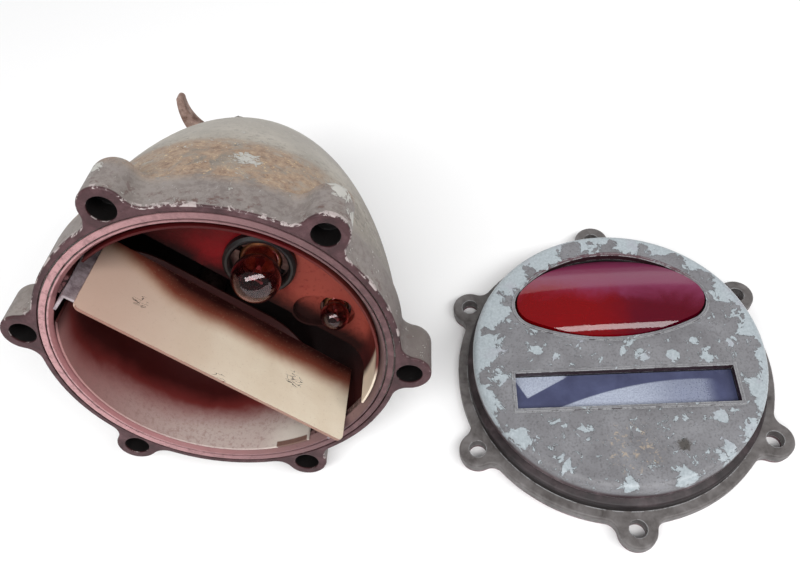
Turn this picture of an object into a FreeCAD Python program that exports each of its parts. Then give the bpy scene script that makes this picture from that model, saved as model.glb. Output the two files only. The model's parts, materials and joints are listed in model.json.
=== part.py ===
import FreeCAD, Part
import math
import os
import re

import Sketcher
from FreeCAD import Placement, Rotation, Vector

# Round military-pattern tail light, taken apart on a bench: the cast bowl lies on its side with its
# mouth towards -Y, and the lens door lies face up beside it, towards +X. Millimetres.
# The bowl's pieces are drawn in the light's own frame: +Z out of the mouth, +Y at 12 o'clock.
# The door's pieces are drawn with z = 0 at the top of the screw ears and +Z out of the face.

DIMENSIONS = (
    # how the two halves lie on the bench
    ("bowl_x", -146.0, "mouth centre from the door's centre"),
    ("bowl_y", -22.1, "mouth centre from the door's centre"),
    ("bowl_pitch", 75.0, "turn of the mouth towards -Y, degrees"),
    ("bowl_roll", -42.3, "turn of 12 o'clock about the mouth's axis, degrees"),
    # what the bowl and the door share
    ("hole_circle_r", 66.675, "six screw holes on a 5.25 inch circle"),
    # bowl casting
    ("mouth_outer_r", 63.4, "flange edge between the bosses"),
    ("mouth_inner_r", 55.6, "inside of the mouth"),
    ("mouth_lip", 5.0, "depth of the mouth's inner lip"),
    ("dome_r", 63.1, "bowl at its mouth"),
    ("dome_front", -4.0, "where the dome starts"),
    ("dome_deep", 113.2, "from there to the back of the dome"),
    ("dome_power", 1.67, "roundness of the dome's side"),
    ("dome_root", 2.3, "roundness of the dome's back"),
    ("dome_lean_x", -0.8, "lean of the casting, degrees"),
    ("dome_lean_y", 1.9, "lean of the casting, degrees"),
    ("wall", 3.2, "casting wall"),
    ("boss_r", 7.8, "screw boss"),
    ("boss_long", 20.0, "screw boss"),
    ("boss_blend_r", 6.0, "hollow between boss and flange"),
    ("boss_round_r", 5.0, "rounding at the back of a boss"),
    ("mouth_round_r", 0.8, "worn front edge of the bosses and flange"),
    ("counterbore_r", 4.7, "mouth of a boss's hole"),
    ("counterbore_deep", 9.0, "mouth of a boss's hole"),
    ("tapped_r", 2.6, "tapping hole for a quarter-inch screw"),
    ("tapped_deep", 16.0, "tapping hole for a quarter-inch screw"),
    ("seat_groove_r", 60.7, "outer groove of the gasket seat"),
    ("inner_groove_r", 58.0, "inner groove of the gasket seat"),
    ("groove_wide", 0.6, "both grooves"),
    ("groove_deep", 1.2, "both grooves"),
    # rear mounting
    ("back_face", -118.0, "flat face that the light is bolted by"),
    ("pad_long", 22.0, "thickness of the cast mounting pad"),
    ("pad_end_r", 8.2, "rounded ends of the pad"),
    ("stud_reach", 19.0, "stud axis from the light's axis"),
    ("stud_r", 3.97, "free end of a five-sixteenths stud"),
    ("stud_core_r", 3.3, "stud's core, where the casting and the nuts hold its thread"),
    ("stud_in", 7.5, "stud inside the casting"),
    ("stud_out", 18.0, "stud behind the pad"),
    ("nut_flats", 12.7, "across flats"),
    ("nut_thick", 6.9, "nut"),
    ("washer_r", 6.9, "lock washer"),
    ("washer_thick", 2.0, "lock washer"),
    ("strap_thick", 4.0, "rear bracket"),
    ("strap_end_r", 9.5, "rear bracket"),
    ("gland_r", 8.0, "cable grommet in the casting"),
    ("gland_flange_r", 9.6, "cable grommet behind the casting"),
    ("gland_bore_r", 4.2, "cable grommet"),
    ("gland_nose", -103.0, "cable grommet's inner end"),
    # shelf between the two compartments
    ("shelf_level", -3.0, "middle of the shelf above the light's axis"),
    ("shelf_x", 2.2, "middle of the shelf"),
    ("shelf_wide", 104.6, "shelf"),
    ("shelf_long", 36.0, "shelf"),
    ("shelf_front", 8.2, "how far the shelf stands out of the mouth"),
    ("shelf_yaw", -1.6, "how the loose shelf lies, degrees"),
    ("shelf_thick", 1.2, "shelf"),
    ("shelf_corner_r", 2.5, "shelf's front corners"),
    ("bracket_thick", 1.0, "shelf bracket"),
    ("bracket_wide", 12.0, "shelf bracket"),
    ("bracket_drop", 8.0, "shelf bracket's riveted leg"),
    ("bracket_front", 3.3, "shelf bracket"),
    ("bracket_long", 28.0, "shelf bracket"),
    ("bracket_reach", 54.2, "shelf bracket's outer face"),
    ("rivet_y", -8.6, "bracket rivets and the cast lugs that they enter"),
    ("rivet_front", -8.5, "front rivet of each bracket"),
    ("rivet_rear", -18.5, "rear rivet of each bracket"),
    ("rivet_r", 1.5, "bracket rivet"),
    ("rivet_head_r", 2.4, "bracket rivet"),
    ("rivet_head_tall", 1.1, "bracket rivet"),
    ("rivet_in", 3.2, "rivet beyond the bracket's outer face"),
    ("lug_reach", 54.4, "cast lug's inner face"),
    ("lug_thick", 5.6, "cast lug, into the bowl's wall"),
    ("lug_tall", 8.0, "cast lug"),
    ("lug_back", -24.0, "rear end of a cast lug"),
    # reflectors
    ("sheet", 0.8, "reflector metal"),
    ("reflector_r", 55.4, "rim of both reflectors"),
    ("upper_back", -26.0, "front of the upper reflector's back"),
    ("upper_floor", 9.5, "lower edge of the upper reflector"),
    ("upper_round_r", 10.0, "corner of the upper reflector"),
    ("lower_back", -52.0, "front of the lower reflector's back"),
    ("lower_top", -21.5, "upper edge of the lower reflector"),
    ("lower_round_r", 24.0, "corner of the lower reflector"),
    ("well_long", 23.0, "oval well of the tail lamp"),
    ("well_wide", 14.4, "oval well of the tail lamp"),
    ("well_x", 28.9, "oval well of the tail lamp"),
    ("well_y", 17.6, "oval well of the tail lamp"),
    ("well_turn", 30.0, "oval well of the tail lamp, degrees"),
    ("well_deep", 3.6, "oval well of the tail lamp"),
    ("ring_r", 13.0, "black ring round the stop lamp"),
    ("ring_hole_r", 10.4, "black ring round the stop lamp"),
    ("ring_tall", 3.4, "black ring round the stop lamp"),
    # lamps: bayonet base, globe and sprung socket
    ("stop_x", -2.4, "stop lamp"),
    ("stop_y", 24.0, "stop lamp"),
    ("tail_x", 32.6, "tail lamp"),
    ("tail_y", 19.7, "tail lamp"),
    ("blackout_x", 0.0, "blackout lamp"),
    ("blackout_y", -33.0, "blackout lamp"),
    ("big_base_r", 7.5, "15 mm bayonet base"),
    ("big_base_tall", 15.0, "15 mm bayonet base"),
    ("big_neck_r", 6.4, "large bulb"),
    ("big_globe_r", 8.8, "large bulb"),
    ("big_globe_up", 25.0, "large bulb"),
    ("small_base_r", 4.6, "9 mm bayonet base"),
    ("small_base_tall", 10.0, "9 mm bayonet base"),
    ("small_neck_r", 3.9, "small bulb"),
    ("small_globe_r", 5.4, "small bulb"),
    ("small_globe_up", 15.5, "small bulb"),
    ("glass_wall", 0.6, "bulb glass"),
    ("socket_gap", 0.25, "round a bulb's base"),
    ("socket_wall", 0.9, "socket shell"),
    ("socket_back", -10.0, "socket's back below the bulb's base"),
    ("boot_tail", -16.0, "rubber boot's end below the bulb's base"),
    ("lead_r", 1.3, "insulated lead"),
    # door casting
    ("ear_hole_r", 3.38, "clearance for a quarter-inch screw"),
    ("flange_thick", 4.5, "ear flange"),
    ("flange_r", 64.1, "ear flange between the ears"),
    ("ear_r", 7.4, "screw ear"),
    ("ear_blend_r", 5.0, "hollow between ear and flange"),
    ("ear_round_r", 0.9, "worn top edge of the flange and ears"),
    ("collar_r", 60.2, "step above the flange"),
    ("collar_tall", 5.0, "step above the flange"),
    ("cap_r", 57.8, "side of the door"),
    ("cap_groove", 1.1, "groove between step and side"),
    ("face_up", 16.0, "face above the ears"),
    ("face_round_r", 3.0, "edge of the face"),
    ("face_thick", 2.4, "face"),
    ("cavity_r", 54.0, "hollow under the door"),
    ("gasket_thick", 2.0, "door gasket"),
    ("gasket_inner_r", 57.5, "door gasket"),
    # eye-shaped red lens: two arcs with rounded tips
    ("eye_top_r", 47.8, "upper arc"),
    ("eye_top_y", -2.2, "centre of the upper arc"),
    ("eye_low_r", 76.8, "lower arc"),
    ("eye_low_y", 83.3, "centre of the lower arc"),
    ("eye_tip_r", 9.8, "rounded tips"),
    ("eye_gap", 0.6, "opening round the glass"),
    ("lens_clear", 0.15, "packing round the glass"),
    ("lens_flange", 2.2, "hidden flange of the red lens"),
    ("lens_crown", 9.0, "half height of the red lens's dome"),
    ("lens_crown_up", 10.0, "middle of the dome above the ears"),
    ("frame_grow", 6.8, "red lens's retainer"),
    ("screw_grow", 4.2, "retainer screws from the glass"),
    ("lip_wide", 1.3, "raised lip round an opening"),
    ("lip_tall", 0.6, "raised lip round an opening"),
    # slot lens
    ("slot_x", 0.8, "slot"),
    ("slot_y", -16.5, "slot"),
    ("slot_long", 84.6, "slot"),
    ("slot_wide", 15.2, "slot"),
    ("pane_long", 87.0, "slot glass"),
    ("pane_wide", 20.4, "slot glass"),
    ("pane_thick", 3.5, "slot glass"),
    ("pane_frame_long", 85.0, "slot retainer"),
    ("pane_frame_wide", 29.4, "slot retainer"),
    ("pane_screw_x", 30.0, "slot retainer's screws"),
    ("pane_screw_y", 12.2, "slot retainer's screws"),
    ("pack_thick", 1.0, "lens packing"),
    ("frame_thick", 1.2, "both retainers"),
    ("screw_r", 1.5, "retainer screw"),
    ("screw_head_r", 2.8, "retainer screw"),
    ("screw_head_tall", 1.6, "retainer screw"),
    ("screw_in", 1.7, "retainer screw in the face"),
)

doc = FreeCAD.newDocument("tail_light")
sheet = doc.addObject("Spreadsheet::Sheet", "dims")
for row, (alias, number, note) in enumerate(DIMENSIONS, start=1):
    sheet.set(f"A{row}", alias)
    sheet.set(f"B{row}", str(number))
    sheet.setAlias(f"B{row}", alias)
    sheet.set(f"C{row}", note)
doc.recompute()

ALIASES = {alias for alias, number, note in DIMENSIONS}
TOP = Vector(0, 0, 1)
parts = []


# ---- small helpers ------------------------------------------------------------------------------


def cells(text):
    """A formula in the sheet's words, with each word turned into its cell."""
    return re.sub(r"[a-z_]+", lambda m: f"dims.{m[0]}" if m[0] in ALIASES else m[0], str(text))


def size(text):
    """The value of a formula in the sheet's words."""
    return float(sheet.evalExpression(cells(text)))


def new_body(label, place):
    body = doc.addObject("PartDesign::Body", label)
    body.Placement = place
    parts.append(body)
    return body


def new_sketch(body, role="XY_Plane", lift="0", turn=None):
    """A sketch on one of the body's own planes, lifted along the plane's normal."""
    plane = next(f for f in body.Origin.OriginFeatures if f.Role == role)
    sketch = body.newObject("Sketcher::SketchObject", f"{body.Name}_sketch")
    sketch.AttachmentSupport = [(plane, "")]
    sketch.MapMode = "FlatFace"
    sketch.AttachmentOffset = Placement(Vector(0, 0, size(lift)), turn or Rotation())
    sketch.setExpression("AttachmentOffset.Base.z", cells(lift))
    return sketch


def hold(sketch, constraint, formula):
    """Add a constraint and drive it from the sheet."""
    index = sketch.addConstraint(constraint)
    sketch.setExpression(f"Constraints[{index}]", cells(formula))


def place_point(sketch, line, end, x, y):
    hold(sketch, Sketcher.Constraint("DistanceX", -1, 1, line, end, size(x)), x)
    hold(sketch, Sketcher.Constraint("DistanceY", -1, 1, line, end, size(y)), y)


def polygon(sketch, corners):
    """A closed outline; each corner is a pair of formulas."""
    spots = [Vector(size(x), size(y), 0) for x, y in corners]
    count = len(spots)
    first = sketch.GeometryCount
    for i in range(count):
        sketch.addGeometry(Part.LineSegment(spots[i], spots[(i + 1) % count]))
    for i, (x, y) in enumerate(corners):
        following = first + (i + 1) % count
        sketch.addConstraint(Sketcher.Constraint("Coincident", first + i, 2, following, 1))
        place_point(sketch, first + i, 1, x, y)
    return sketch


def box_outline(sketch, x, y, long, wide):
    left, right = f"{x} - ({long}) / 2", f"{x} + ({long}) / 2"
    low, high = f"{y} - ({wide}) / 2", f"{y} + ({wide}) / 2"
    return polygon(sketch, ((left, low), (right, low), (right, high), (left, high)))


def circle(sketch, x, y, r):
    ring = sketch.addGeometry(Part.Circle(Vector(size(x), size(y), 0), TOP, size(r)))
    hold(sketch, Sketcher.Constraint("Radius", ring, size(r)), r)
    place_point(sketch, ring, 3, x, y)
    return sketch


def extrude(body, kind, sketch, length, reverse=False):
    feature = body.newObject(f"PartDesign::{kind}", f"{body.Name}_{kind.lower()}")
    feature.Profile = (sketch, [""])
    feature.Length = size(length)
    feature.setExpression("Length", cells(length))
    feature.Reversed = reverse
    return feature


def turn(body, kind, sketch):
    feature = body.newObject(f"PartDesign::{kind}", f"{body.Name}_{kind.lower()}")
    feature.Profile = (sketch, [""])
    feature.ReferenceAxis = (sketch, ["V_Axis"])
    feature.Angle = 360
    return feature


def turned(label, place, *profiles):
    """A sub-part turned about its own Z; each corner of a profile is a radius and a height."""
    body = new_body(label, place)
    for corners in profiles:
        turn(body, "Revolution", polygon(new_sketch(body, "XZ_Plane"), corners))
    return body


def fillet(body, feature, chosen, r):
    """Round the edges of a feature that chosen() picks."""
    doc.recompute()
    edges = [f"Edge{i}" for i, edge in enumerate(feature.Shape.Edges, start=1) if chosen(edge)]
    rounding = body.newObject("PartDesign::Fillet", f"{body.Name}_fillet")
    rounding.Base = (feature, edges)
    rounding.Radius = size(r)
    rounding.setExpression("Radius", cells(r))
    return rounding


def at_height(edge, z):
    box = edge.BoundBox
    return abs(box.ZMin - z) < 0.01 and abs(box.ZMax - z) < 0.01


def outside(edge, r):
    """Whether an edge's middle is further than r from the part's axis."""
    middle = edge.valueAt((edge.FirstParameter + edge.LastParameter) / 2)
    return math.hypot(middle.x, middle.y) > r


def polar(r, degrees, centre=Vector()):
    a = math.radians(degrees)
    return centre + Vector(r * math.cos(a), r * math.sin(a), 0)


def arc(sketch, start, middle, end):
    sketch.addGeometry(Part.Arc(start, middle, end))


def join_ends(sketch, first):
    """Tie the ends of the lines and arcs from number first on into one closed outline."""
    spans = range(first, sketch.GeometryCount)
    for span in spans:
        end = sketch.getPoint(span, 2)
        for other in spans:
            for tip in (1, 2):
                if other > span and sketch.getPoint(other, tip).distanceToPoint(end) < 1e-5:
                    sketch.addConstraint(Sketcher.Constraint("Coincident", span, 2, other, tip))
    return sketch


def lobed_outline(sketch, round_r, lobe_r, blend_r):
    """A round plate with a lobe at each of the six screw holes and hollow blends beside it."""
    reach = size("hole_circle_r")
    near, far = round_r + blend_r, lobe_r + blend_r
    cosine = (near**2 + reach**2 - far**2) / (2 * near * reach)
    swing = math.degrees(math.acos(cosine))
    for k in range(6):
        axis = 90 + 60 * k
        hole = polar(reach, axis)
        before, after = polar(near, axis - swing), polar(near, axis + swing)
        rim_in, rim_out = polar(round_r, axis - swing), polar(round_r, axis + swing)
        lobe_in = hole + (before - hole) * (lobe_r / far)
        lobe_out = hole + (after - hole) * (lobe_r / far)
        for centre, one, two in ((before, rim_in, lobe_in), (after, lobe_out, rim_out)):
            inward = ((one + two) * 0.5 - centre).normalize()
            arc(sketch, one, centre + inward * blend_r, two)
        arc(sketch, lobe_in, polar(reach + lobe_r, axis), lobe_out)
        arc(sketch, rim_out, polar(round_r, axis + 30), polar(round_r, axis + 60 - swing))
    return sketch


def hole_ring(sketch, r):
    """Six holes on the screw circle, one at 12 o'clock."""
    for k in range(6):
        x = f"hole_circle_r * cos({90 + 60 * k} deg)"
        y = f"hole_circle_r * sin({90 + 60 * k} deg)"
        circle(sketch, x, y, r)
    return sketch


def oblong(sketch, x, y, reach, r, degrees=0.0):
    """A slot shape: two round ends of radius r, their centres reach away from (x, y)."""
    middle = Vector(x, y, 0)
    along, across = polar(1, degrees), polar(1, degrees + 90)
    first = sketch.GeometryCount
    for side in (1, -1):
        centre = middle + along * (side * reach)
        arc(sketch, centre - across * (side * r), centre + along * (side * r),
            centre + across * (side * r))
        start = centre + across * (side * r)
        sketch.addGeometry(Part.LineSegment(start, start - along * (side * 2 * reach)))
    return join_ends(sketch, first)


def eye_edges(grow):
    """The red lens's outline, grown by grow: upper arc, lower arc and two rounded tips."""
    top, low = Vector(0, size("eye_top_y"), 0), Vector(0, size("eye_low_y"), 0)
    top_r, low_r, tip_r = size("eye_top_r"), size("eye_low_r"), size("eye_tip_r")
    apart = low.y - top.y
    up = ((top_r - tip_r) ** 2 - (low_r - tip_r) ** 2 + apart**2) / (2 * apart)
    out = math.sqrt((top_r - tip_r) ** 2 - up**2)
    edges = []
    tips = []
    for side in (1, -1):
        tip = Vector(side * out, top.y + up, 0)
        upper = tip + (tip - top).normalize() * (tip_r + grow)
        lower = tip + (tip - low).normalize() * (tip_r + grow)
        edges.append(Part.Arc(upper, tip + Vector(side * (tip_r + grow), 0, 0), lower))
        tips.append((upper, lower))
    (upper_right, lower_right), (upper_left, lower_left) = tips
    edges.append(Part.Arc(upper_left, top + Vector(0, top_r + grow, 0), upper_right))
    edges.append(Part.Arc(lower_left, low - Vector(0, low_r + grow, 0), lower_right))
    return edges


def eye_outline(sketch, grow):
    first = sketch.GeometryCount
    for edge in eye_edges(grow):
        sketch.addGeometry(edge)
    return join_ends(sketch, first)


def dome_profile(sketch, inset):
    """Half of the dome's section: radius falls off by a formula from the mouth to the back."""
    deep, front = size("dome_deep") - inset, size("dome_front")
    across = size("dome_r") - inset
    power, root = size("dome_power"), size("dome_root")
    steps = 12
    spots = []
    for i in range(steps + 1):
        down = math.sin(math.pi / 2 * i / steps)
        narrow = max(0.0, 1 - down**power) ** (1 / root)
        spots.append(Vector(across * narrow, front - deep * down, 0))
    curve = Part.BSplineCurve()
    curve.interpolate(spots)
    sketch.addGeometry(curve)
    sketch.addGeometry(Part.LineSegment(spots[-1], Vector(0, front, 0)))
    sketch.addGeometry(Part.LineSegment(Vector(0, front, 0), spots[0]))
    return join_ends(sketch, 0)


def dome_lean():
    """The dome's axis leans a little from the mouth's; turned in the XZ plane's own axes."""
    about_x = Rotation(Vector(1, 0, 0), size("dome_lean_x"))
    about_y = Rotation(Vector(0, 0, 1), -size("dome_lean_y"))
    return about_y.multiply(about_x)


# ---- where things stand -------------------------------------------------------------------------

bowl_turn = Rotation(Vector(1, 0, 0), size("bowl_pitch")).multiply(
    Rotation(Vector(0, 0, 1), size("bowl_roll"))
)
bowl = Placement(Vector(size("bowl_x"), size("bowl_y"), 0), bowl_turn)
door = Placement(Vector(0, 0, size("flange_thick + gasket_thick")), Rotation())


# ---- bowl casting and its rear mounting ---------------------------------------------------------


def housing_shell():
    body = new_body("housing_shell", bowl)
    back = "-boss_long"
    lobes = new_sketch(body, lift=back)
    lobed_outline(lobes, size("mouth_outer_r"), size("boss_r"), size("boss_blend_r"))
    bosses = extrude(body, "Pad", join_ends(lobes, 0), "boss_long")
    bosses = fillet(body, bosses, lambda edge: at_height(edge, size(back)), "boss_round_r")
    fillet(body, bosses, lambda edge: at_height(edge, 0), "mouth_round_r")
    turn(body, "Revolution", dome_profile(new_sketch(body, "XZ_Plane", turn=dome_lean()), 0))
    pad = oblong(new_sketch(body, lift="back_face"), 0, 0, size("stud_reach"), size("pad_end_r"))
    extrude(body, "Pad", pad, "pad_long")
    inside = dome_profile(new_sketch(body, "XZ_Plane", turn=dome_lean()), size("wall"))
    turn(body, "Groove", inside)
    mouth = circle(new_sketch(body), "0", "0", "mouth_inner_r")
    extrude(body, "Pocket", mouth, "mouth_lip + 5")
    extrude(body, "Pocket", hole_ring(new_sketch(body), "counterbore_r"), "counterbore_deep")
    extrude(body, "Pocket", hole_ring(new_sketch(body), "tapped_r"), "tapped_deep")
    for r in ("seat_groove_r", "inner_groove_r"):
        inner, outer = r, f"{r} + groove_wide"
        groove = ((inner, "-groove_deep"), (outer, "-groove_deep"), (outer, "1"), (inner, "1"))
        turn(body, "Groove", polygon(new_sketch(body, "XZ_Plane"), groove))
    bevel = (("mouth_inner_r - 1", "-3"), ("mouth_inner_r", "-3"),
             ("inner_groove_r - 0.6", "0"), ("inner_groove_r - 0.6", "1"), ("mouth_inner_r - 1", "1"))
    turn(body, "Groove", polygon(new_sketch(body, "XZ_Plane"), bevel))
    gland = circle(new_sketch(body, lift="back_face"), "0", "0", "gland_r")
    extrude(body, "Pocket", gland, "pad_long", reverse=True)
    studs = new_sketch(body, lift="back_face")
    for side in ("-stud_reach", "stud_reach"):
        circle(studs, side, "0", "stud_core_r")
    extrude(body, "Pocket", studs, "stud_in", reverse=True)
    lugs = new_sketch(body, lift="lug_back")
    for side in (1, -1):
        box_outline(lugs, f"{side} * (lug_reach + lug_thick / 2)", "rivet_y", "lug_thick", "lug_tall")
    extrude(body, "Pad", lugs, "-lug_back - mouth_lip")
    rivet_holes(body)


def rivet_holes(body):
    sketch = new_sketch(body, "YZ_Plane", lift="-bracket_reach - rivet_in")
    for z in ("rivet_front", "rivet_rear"):
        circle(sketch, "rivet_y", z, "rivet_r")
    extrude(body, "Pocket", sketch, "2 * (bracket_reach + rivet_in)", reverse=True)


def mounting_studs():
    body = new_body("mounting_studs", bowl)
    cores = new_sketch(body, lift="back_face - stud_out")
    ends = new_sketch(body, lift="back_face - stud_out")
    for side in ("-stud_reach", "stud_reach"):
        circle(cores, side, "0", "stud_core_r")
        circle(ends, side, "0", "stud_r")
    extrude(body, "Pad", cores, "stud_out + stud_in")
    extrude(body, "Pad", ends, "stud_out - strap_thick - washer_thick - nut_thick")


def mounting_bracket():
    """A steel strap across the two studs whose arm tapers to a bent-up horn."""
    body = new_body("mounting_bracket", bowl)
    plate = new_sketch(body, lift="back_face - strap_thick")
    oblong(plate, 0, 0, size("stud_reach"), size("strap_end_r"))
    extrude(body, "Pad", plate, "strap_thick")
    arm = new_sketch(body, lift="back_face - strap_thick")
    root_top, root_low = Vector(-22, 3, 0), Vector(-22, -8.8, 0)
    tip_top, tip, tip_low = Vector(-47.0, 6.0, 0), Vector(-49.2, 6.2, 0), Vector(-49.2, 3.8, 0)
    arc(arm, root_top, Vector(-36.2, -0.2, 0), tip_top)
    arc(arm, tip_top, tip, tip_low)
    arc(arm, tip_low, Vector(-39.9, -5.2, 0), root_low)
    arm.addGeometry(Part.LineSegment(root_low, root_top))
    extrude(body, "Pad", join_ends(arm, 0), "strap_thick")
    holes = circle(new_sketch(body, lift="back_face - strap_thick"), "0", "0", "gland_flange_r")
    for side in ("-stud_reach", "stud_reach"):
        circle(holes, side, "0", "stud_r + 0.2")
    extrude(body, "Pocket", holes, "strap_thick", reverse=True)


def mounting_washers():
    body = new_body("lock_washers", bowl)
    sketch = new_sketch(body, lift="back_face - strap_thick - washer_thick")
    for side in ("-stud_reach", "stud_reach"):
        circle(sketch, side, "0", "washer_r")
        circle(sketch, side, "0", "stud_r + 0.15")
    extrude(body, "Pad", sketch, "washer_thick")
    split = new_sketch(body, lift="back_face - strap_thick - washer_thick")
    for side in ("-stud_reach", "stud_reach"):
        box_outline(split, side, "washer_r", "0.9", "washer_r")
    extrude(body, "Pocket", split, "washer_thick", reverse=True)


def mounting_nuts():
    body = new_body("mounting_nuts", bowl)
    sketch = new_sketch(body, lift="back_face - strap_thick - washer_thick - nut_thick")
    for side in ("-stud_reach", "stud_reach"):
        corners = []
        for k in range(6):
            x = f"{side} + nut_flats / sqrt(3) * cos({60 * k} deg)"
            corners.append((x, f"nut_flats / sqrt(3) * sin({60 * k} deg)"))
        polygon(sketch, corners)
        circle(sketch, side, "0", "stud_core_r")
    extrude(body, "Pad", sketch, "nut_thick")


def cable_grommet():
    turned("cable_grommet", bowl, (
        ("gland_bore_r", "back_face - 5"), ("gland_flange_r - 1.4", "back_face - 5"),
        ("gland_flange_r - 0.2", "back_face - 3.6"), ("gland_flange_r - 0.2", "back_face"),
        ("gland_r", "back_face"), ("gland_r", "gland_nose - 2"), ("gland_r - 2", "gland_nose"),
        ("gland_bore_r", "gland_nose"),
    ))


# ---- shelf and reflectors -----------------------------------------------------------------------


def shelf_plate():
    """A loose flat plate with rounded front corners, which slides out of the mouth."""
    lie = Rotation(Vector(0, 1, 0), size("shelf_yaw"))
    spot = Vector(size("shelf_x"), size("shelf_level"), size("shelf_front"))
    body = new_body("shelf_plate", bowl.multiply(Placement(spot, lie)))
    sketch = new_sketch(body, "XZ_Plane", lift="-shelf_thick / 2")
    box_outline(sketch, "0", "-shelf_long / 2", "shelf_wide", "shelf_long")
    plate = extrude(body, "Pad", sketch, "shelf_thick")
    def front_corner(edge):
        box = edge.BoundBox
        return box.YLength > 0.1 and box.ZLength < 0.01 and box.XLength < 0.01 and box.ZMax > -1
    fillet(body, plate, front_corner, "shelf_corner_r")


def shelf_brackets():
    """Two angle brackets under the shelf's ends, riveted to the bowl's sides."""
    body = new_body("shelf_brackets", bowl)
    for side in (1, -1):
        out, wide = f"{side} * bracket_reach", f"{side} * (bracket_reach - bracket_wide)"
        leg = f"{side} * (bracket_reach - bracket_thick)"
        top = "shelf_level - shelf_thick / 2 - 0.1"
        sketch = new_sketch(body, lift="bracket_front - bracket_long")
        polygon(sketch, ((out, top), (wide, top), (wide, f"{top} - bracket_thick"),
                         (leg, f"{top} - bracket_thick"), (leg, f"{top} - bracket_drop"),
                         (out, f"{top} - bracket_drop")))
        extrude(body, "Pad", sketch, "bracket_long")
    rivet_holes(body)


def bracket_rivets():
    """Two rivets a side, through a bracket's leg and into the bowl's cast lug."""
    body = new_body("bracket_rivets", bowl)
    for side in (1, -1):
        face = f"{side} * (bracket_reach - bracket_thick)"
        for z in ("rivet_front", "rivet_rear"):
            shank = circle(new_sketch(body, "YZ_Plane", lift=face), "rivet_y", z, "rivet_r")
            extrude(body, "Pad", shank, "bracket_thick + rivet_in", reverse=side < 0)
            head = circle(new_sketch(body, "YZ_Plane", lift=face), "rivet_y", z, "rivet_head_r")
            extrude(body, "Pad", head, "rivet_head_tall", reverse=side > 0)


def pan_section(sketch, back, round_r):
    """Half of a reflector's section: flat back, rounded corner, side wall up to its rim."""
    rim, thin = size("reflector_r"), size("sheet")
    top = -0.6
    for inset in (0, thin):
        outer, floor = rim - inset, back - thin + inset
        bend = round_r - inset
        corner = Vector(outer - bend, floor + bend, 0)
        sketch.addGeometry(Part.LineSegment(Vector(outer, top, 0), Vector(outer, corner.y, 0)))
        arc(sketch, Vector(outer, corner.y, 0), polar(bend, -45, corner), Vector(corner.x, floor, 0))
        sketch.addGeometry(Part.LineSegment(Vector(corner.x, floor, 0), Vector(0, floor, 0)))
    sketch.addGeometry(Part.LineSegment(Vector(rim, top, 0), Vector(rim - thin, top, 0)))
    sketch.addGeometry(Part.LineSegment(Vector(0, back - thin, 0), Vector(0, back, 0)))
    return join_ends(sketch, 0)


def upper_reflector():
    """A pan behind the red lens, cut off straight above the shelf, with a hole for the stop lamp
    and an oval well for the tail lamp."""
    body = new_body("upper_reflector", bowl)
    section = new_sketch(body, "XZ_Plane")
    turn(body, "Revolution", pan_section(section, size("upper_back"), size("upper_round_r")))
    cut = new_sketch(body, lift="upper_back - 5")
    box_outline(cut, "0", "upper_floor - 40", "130", "80")
    extrude(body, "Pocket", cut, "60", reverse=True)
    ends = size("well_long - well_wide") / 2
    spot = (size("well_x"), size("well_y"), ends)
    turn_by = size("well_turn")
    well = new_sketch(body, lift="upper_back - well_deep")
    oblong(well, *spot, size("well_wide / 2 + sheet"), turn_by)
    extrude(body, "Pad", well, "well_deep")
    hollow = oblong(new_sketch(body, lift="upper_back - well_deep + sheet"), *spot,
                    size("well_wide / 2"), turn_by)
    extrude(body, "Pocket", hollow, "well_deep + 5", reverse=True)
    holes = circle(new_sketch(body, lift="upper_back - well_deep"), "stop_x", "stop_y", "ring_r - 1.6")
    circle(holes, "tail_x", "tail_y", "small_globe_r + 0.5")
    extrude(body, "Pocket", holes, "well_deep + 5", reverse=True)


def lower_reflector():
    """A deeper pan that lines the lower compartment, with a hole for the blackout lamp."""
    body = new_body("lower_reflector", bowl)
    section = new_sketch(body, "XZ_Plane")
    turn(body, "Revolution", pan_section(section, size("lower_back"), size("lower_round_r")))
    cut = new_sketch(body, lift="lower_back - 5")
    box_outline(cut, "0", "lower_top + 50", "130", "100")
    extrude(body, "Pocket", cut, "70", reverse=True)
    hole = circle(new_sketch(body, lift="lower_back - 5"), "blackout_x", "blackout_y", "small_globe_r + 0.5")
    extrude(body, "Pocket", hole, "10", reverse=True)


def stop_lamp_ring():
    spot = Vector(size("stop_x"), size("stop_y"), size("upper_back"))
    place = bowl.multiply(Placement(spot, Rotation()))
    turned("stop_lamp_ring", place, (
        ("ring_hole_r", "-sheet"), ("ring_r - 1.6", "-sheet"), ("ring_r - 1.6", "0"),
        ("ring_r", "0"), ("ring_r", "ring_tall - 1"), ("ring_r - 1", "ring_tall"),
        ("ring_hole_r + 0.8", "ring_tall"), ("ring_hole_r", "ring_tall - 0.8"),
    ))


# ---- lamps --------------------------------------------------------------------------------------


def globe_section(sketch, neck, globe, up, base):
    """Half of a thin glass bulb's section: straight neck, round globe, closed at the top."""
    thin = size("glass_wall")
    for inset in (0, thin):
        side, ball = neck - inset, globe - inset
        join = up - math.sqrt(ball**2 - side**2)
        sketch.addGeometry(Part.LineSegment(Vector(side, base, 0), Vector(side, join, 0)))
        arc(sketch, Vector(side, join, 0), Vector(ball, up, 0), Vector(0, up + ball, 0))
    sketch.addGeometry(Part.LineSegment(Vector(neck, base, 0), Vector(neck - thin, base, 0)))
    top = up + globe
    sketch.addGeometry(Part.LineSegment(Vector(0, top, 0), Vector(0, top - thin, 0)))
    return join_ends(sketch, 0)


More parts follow.
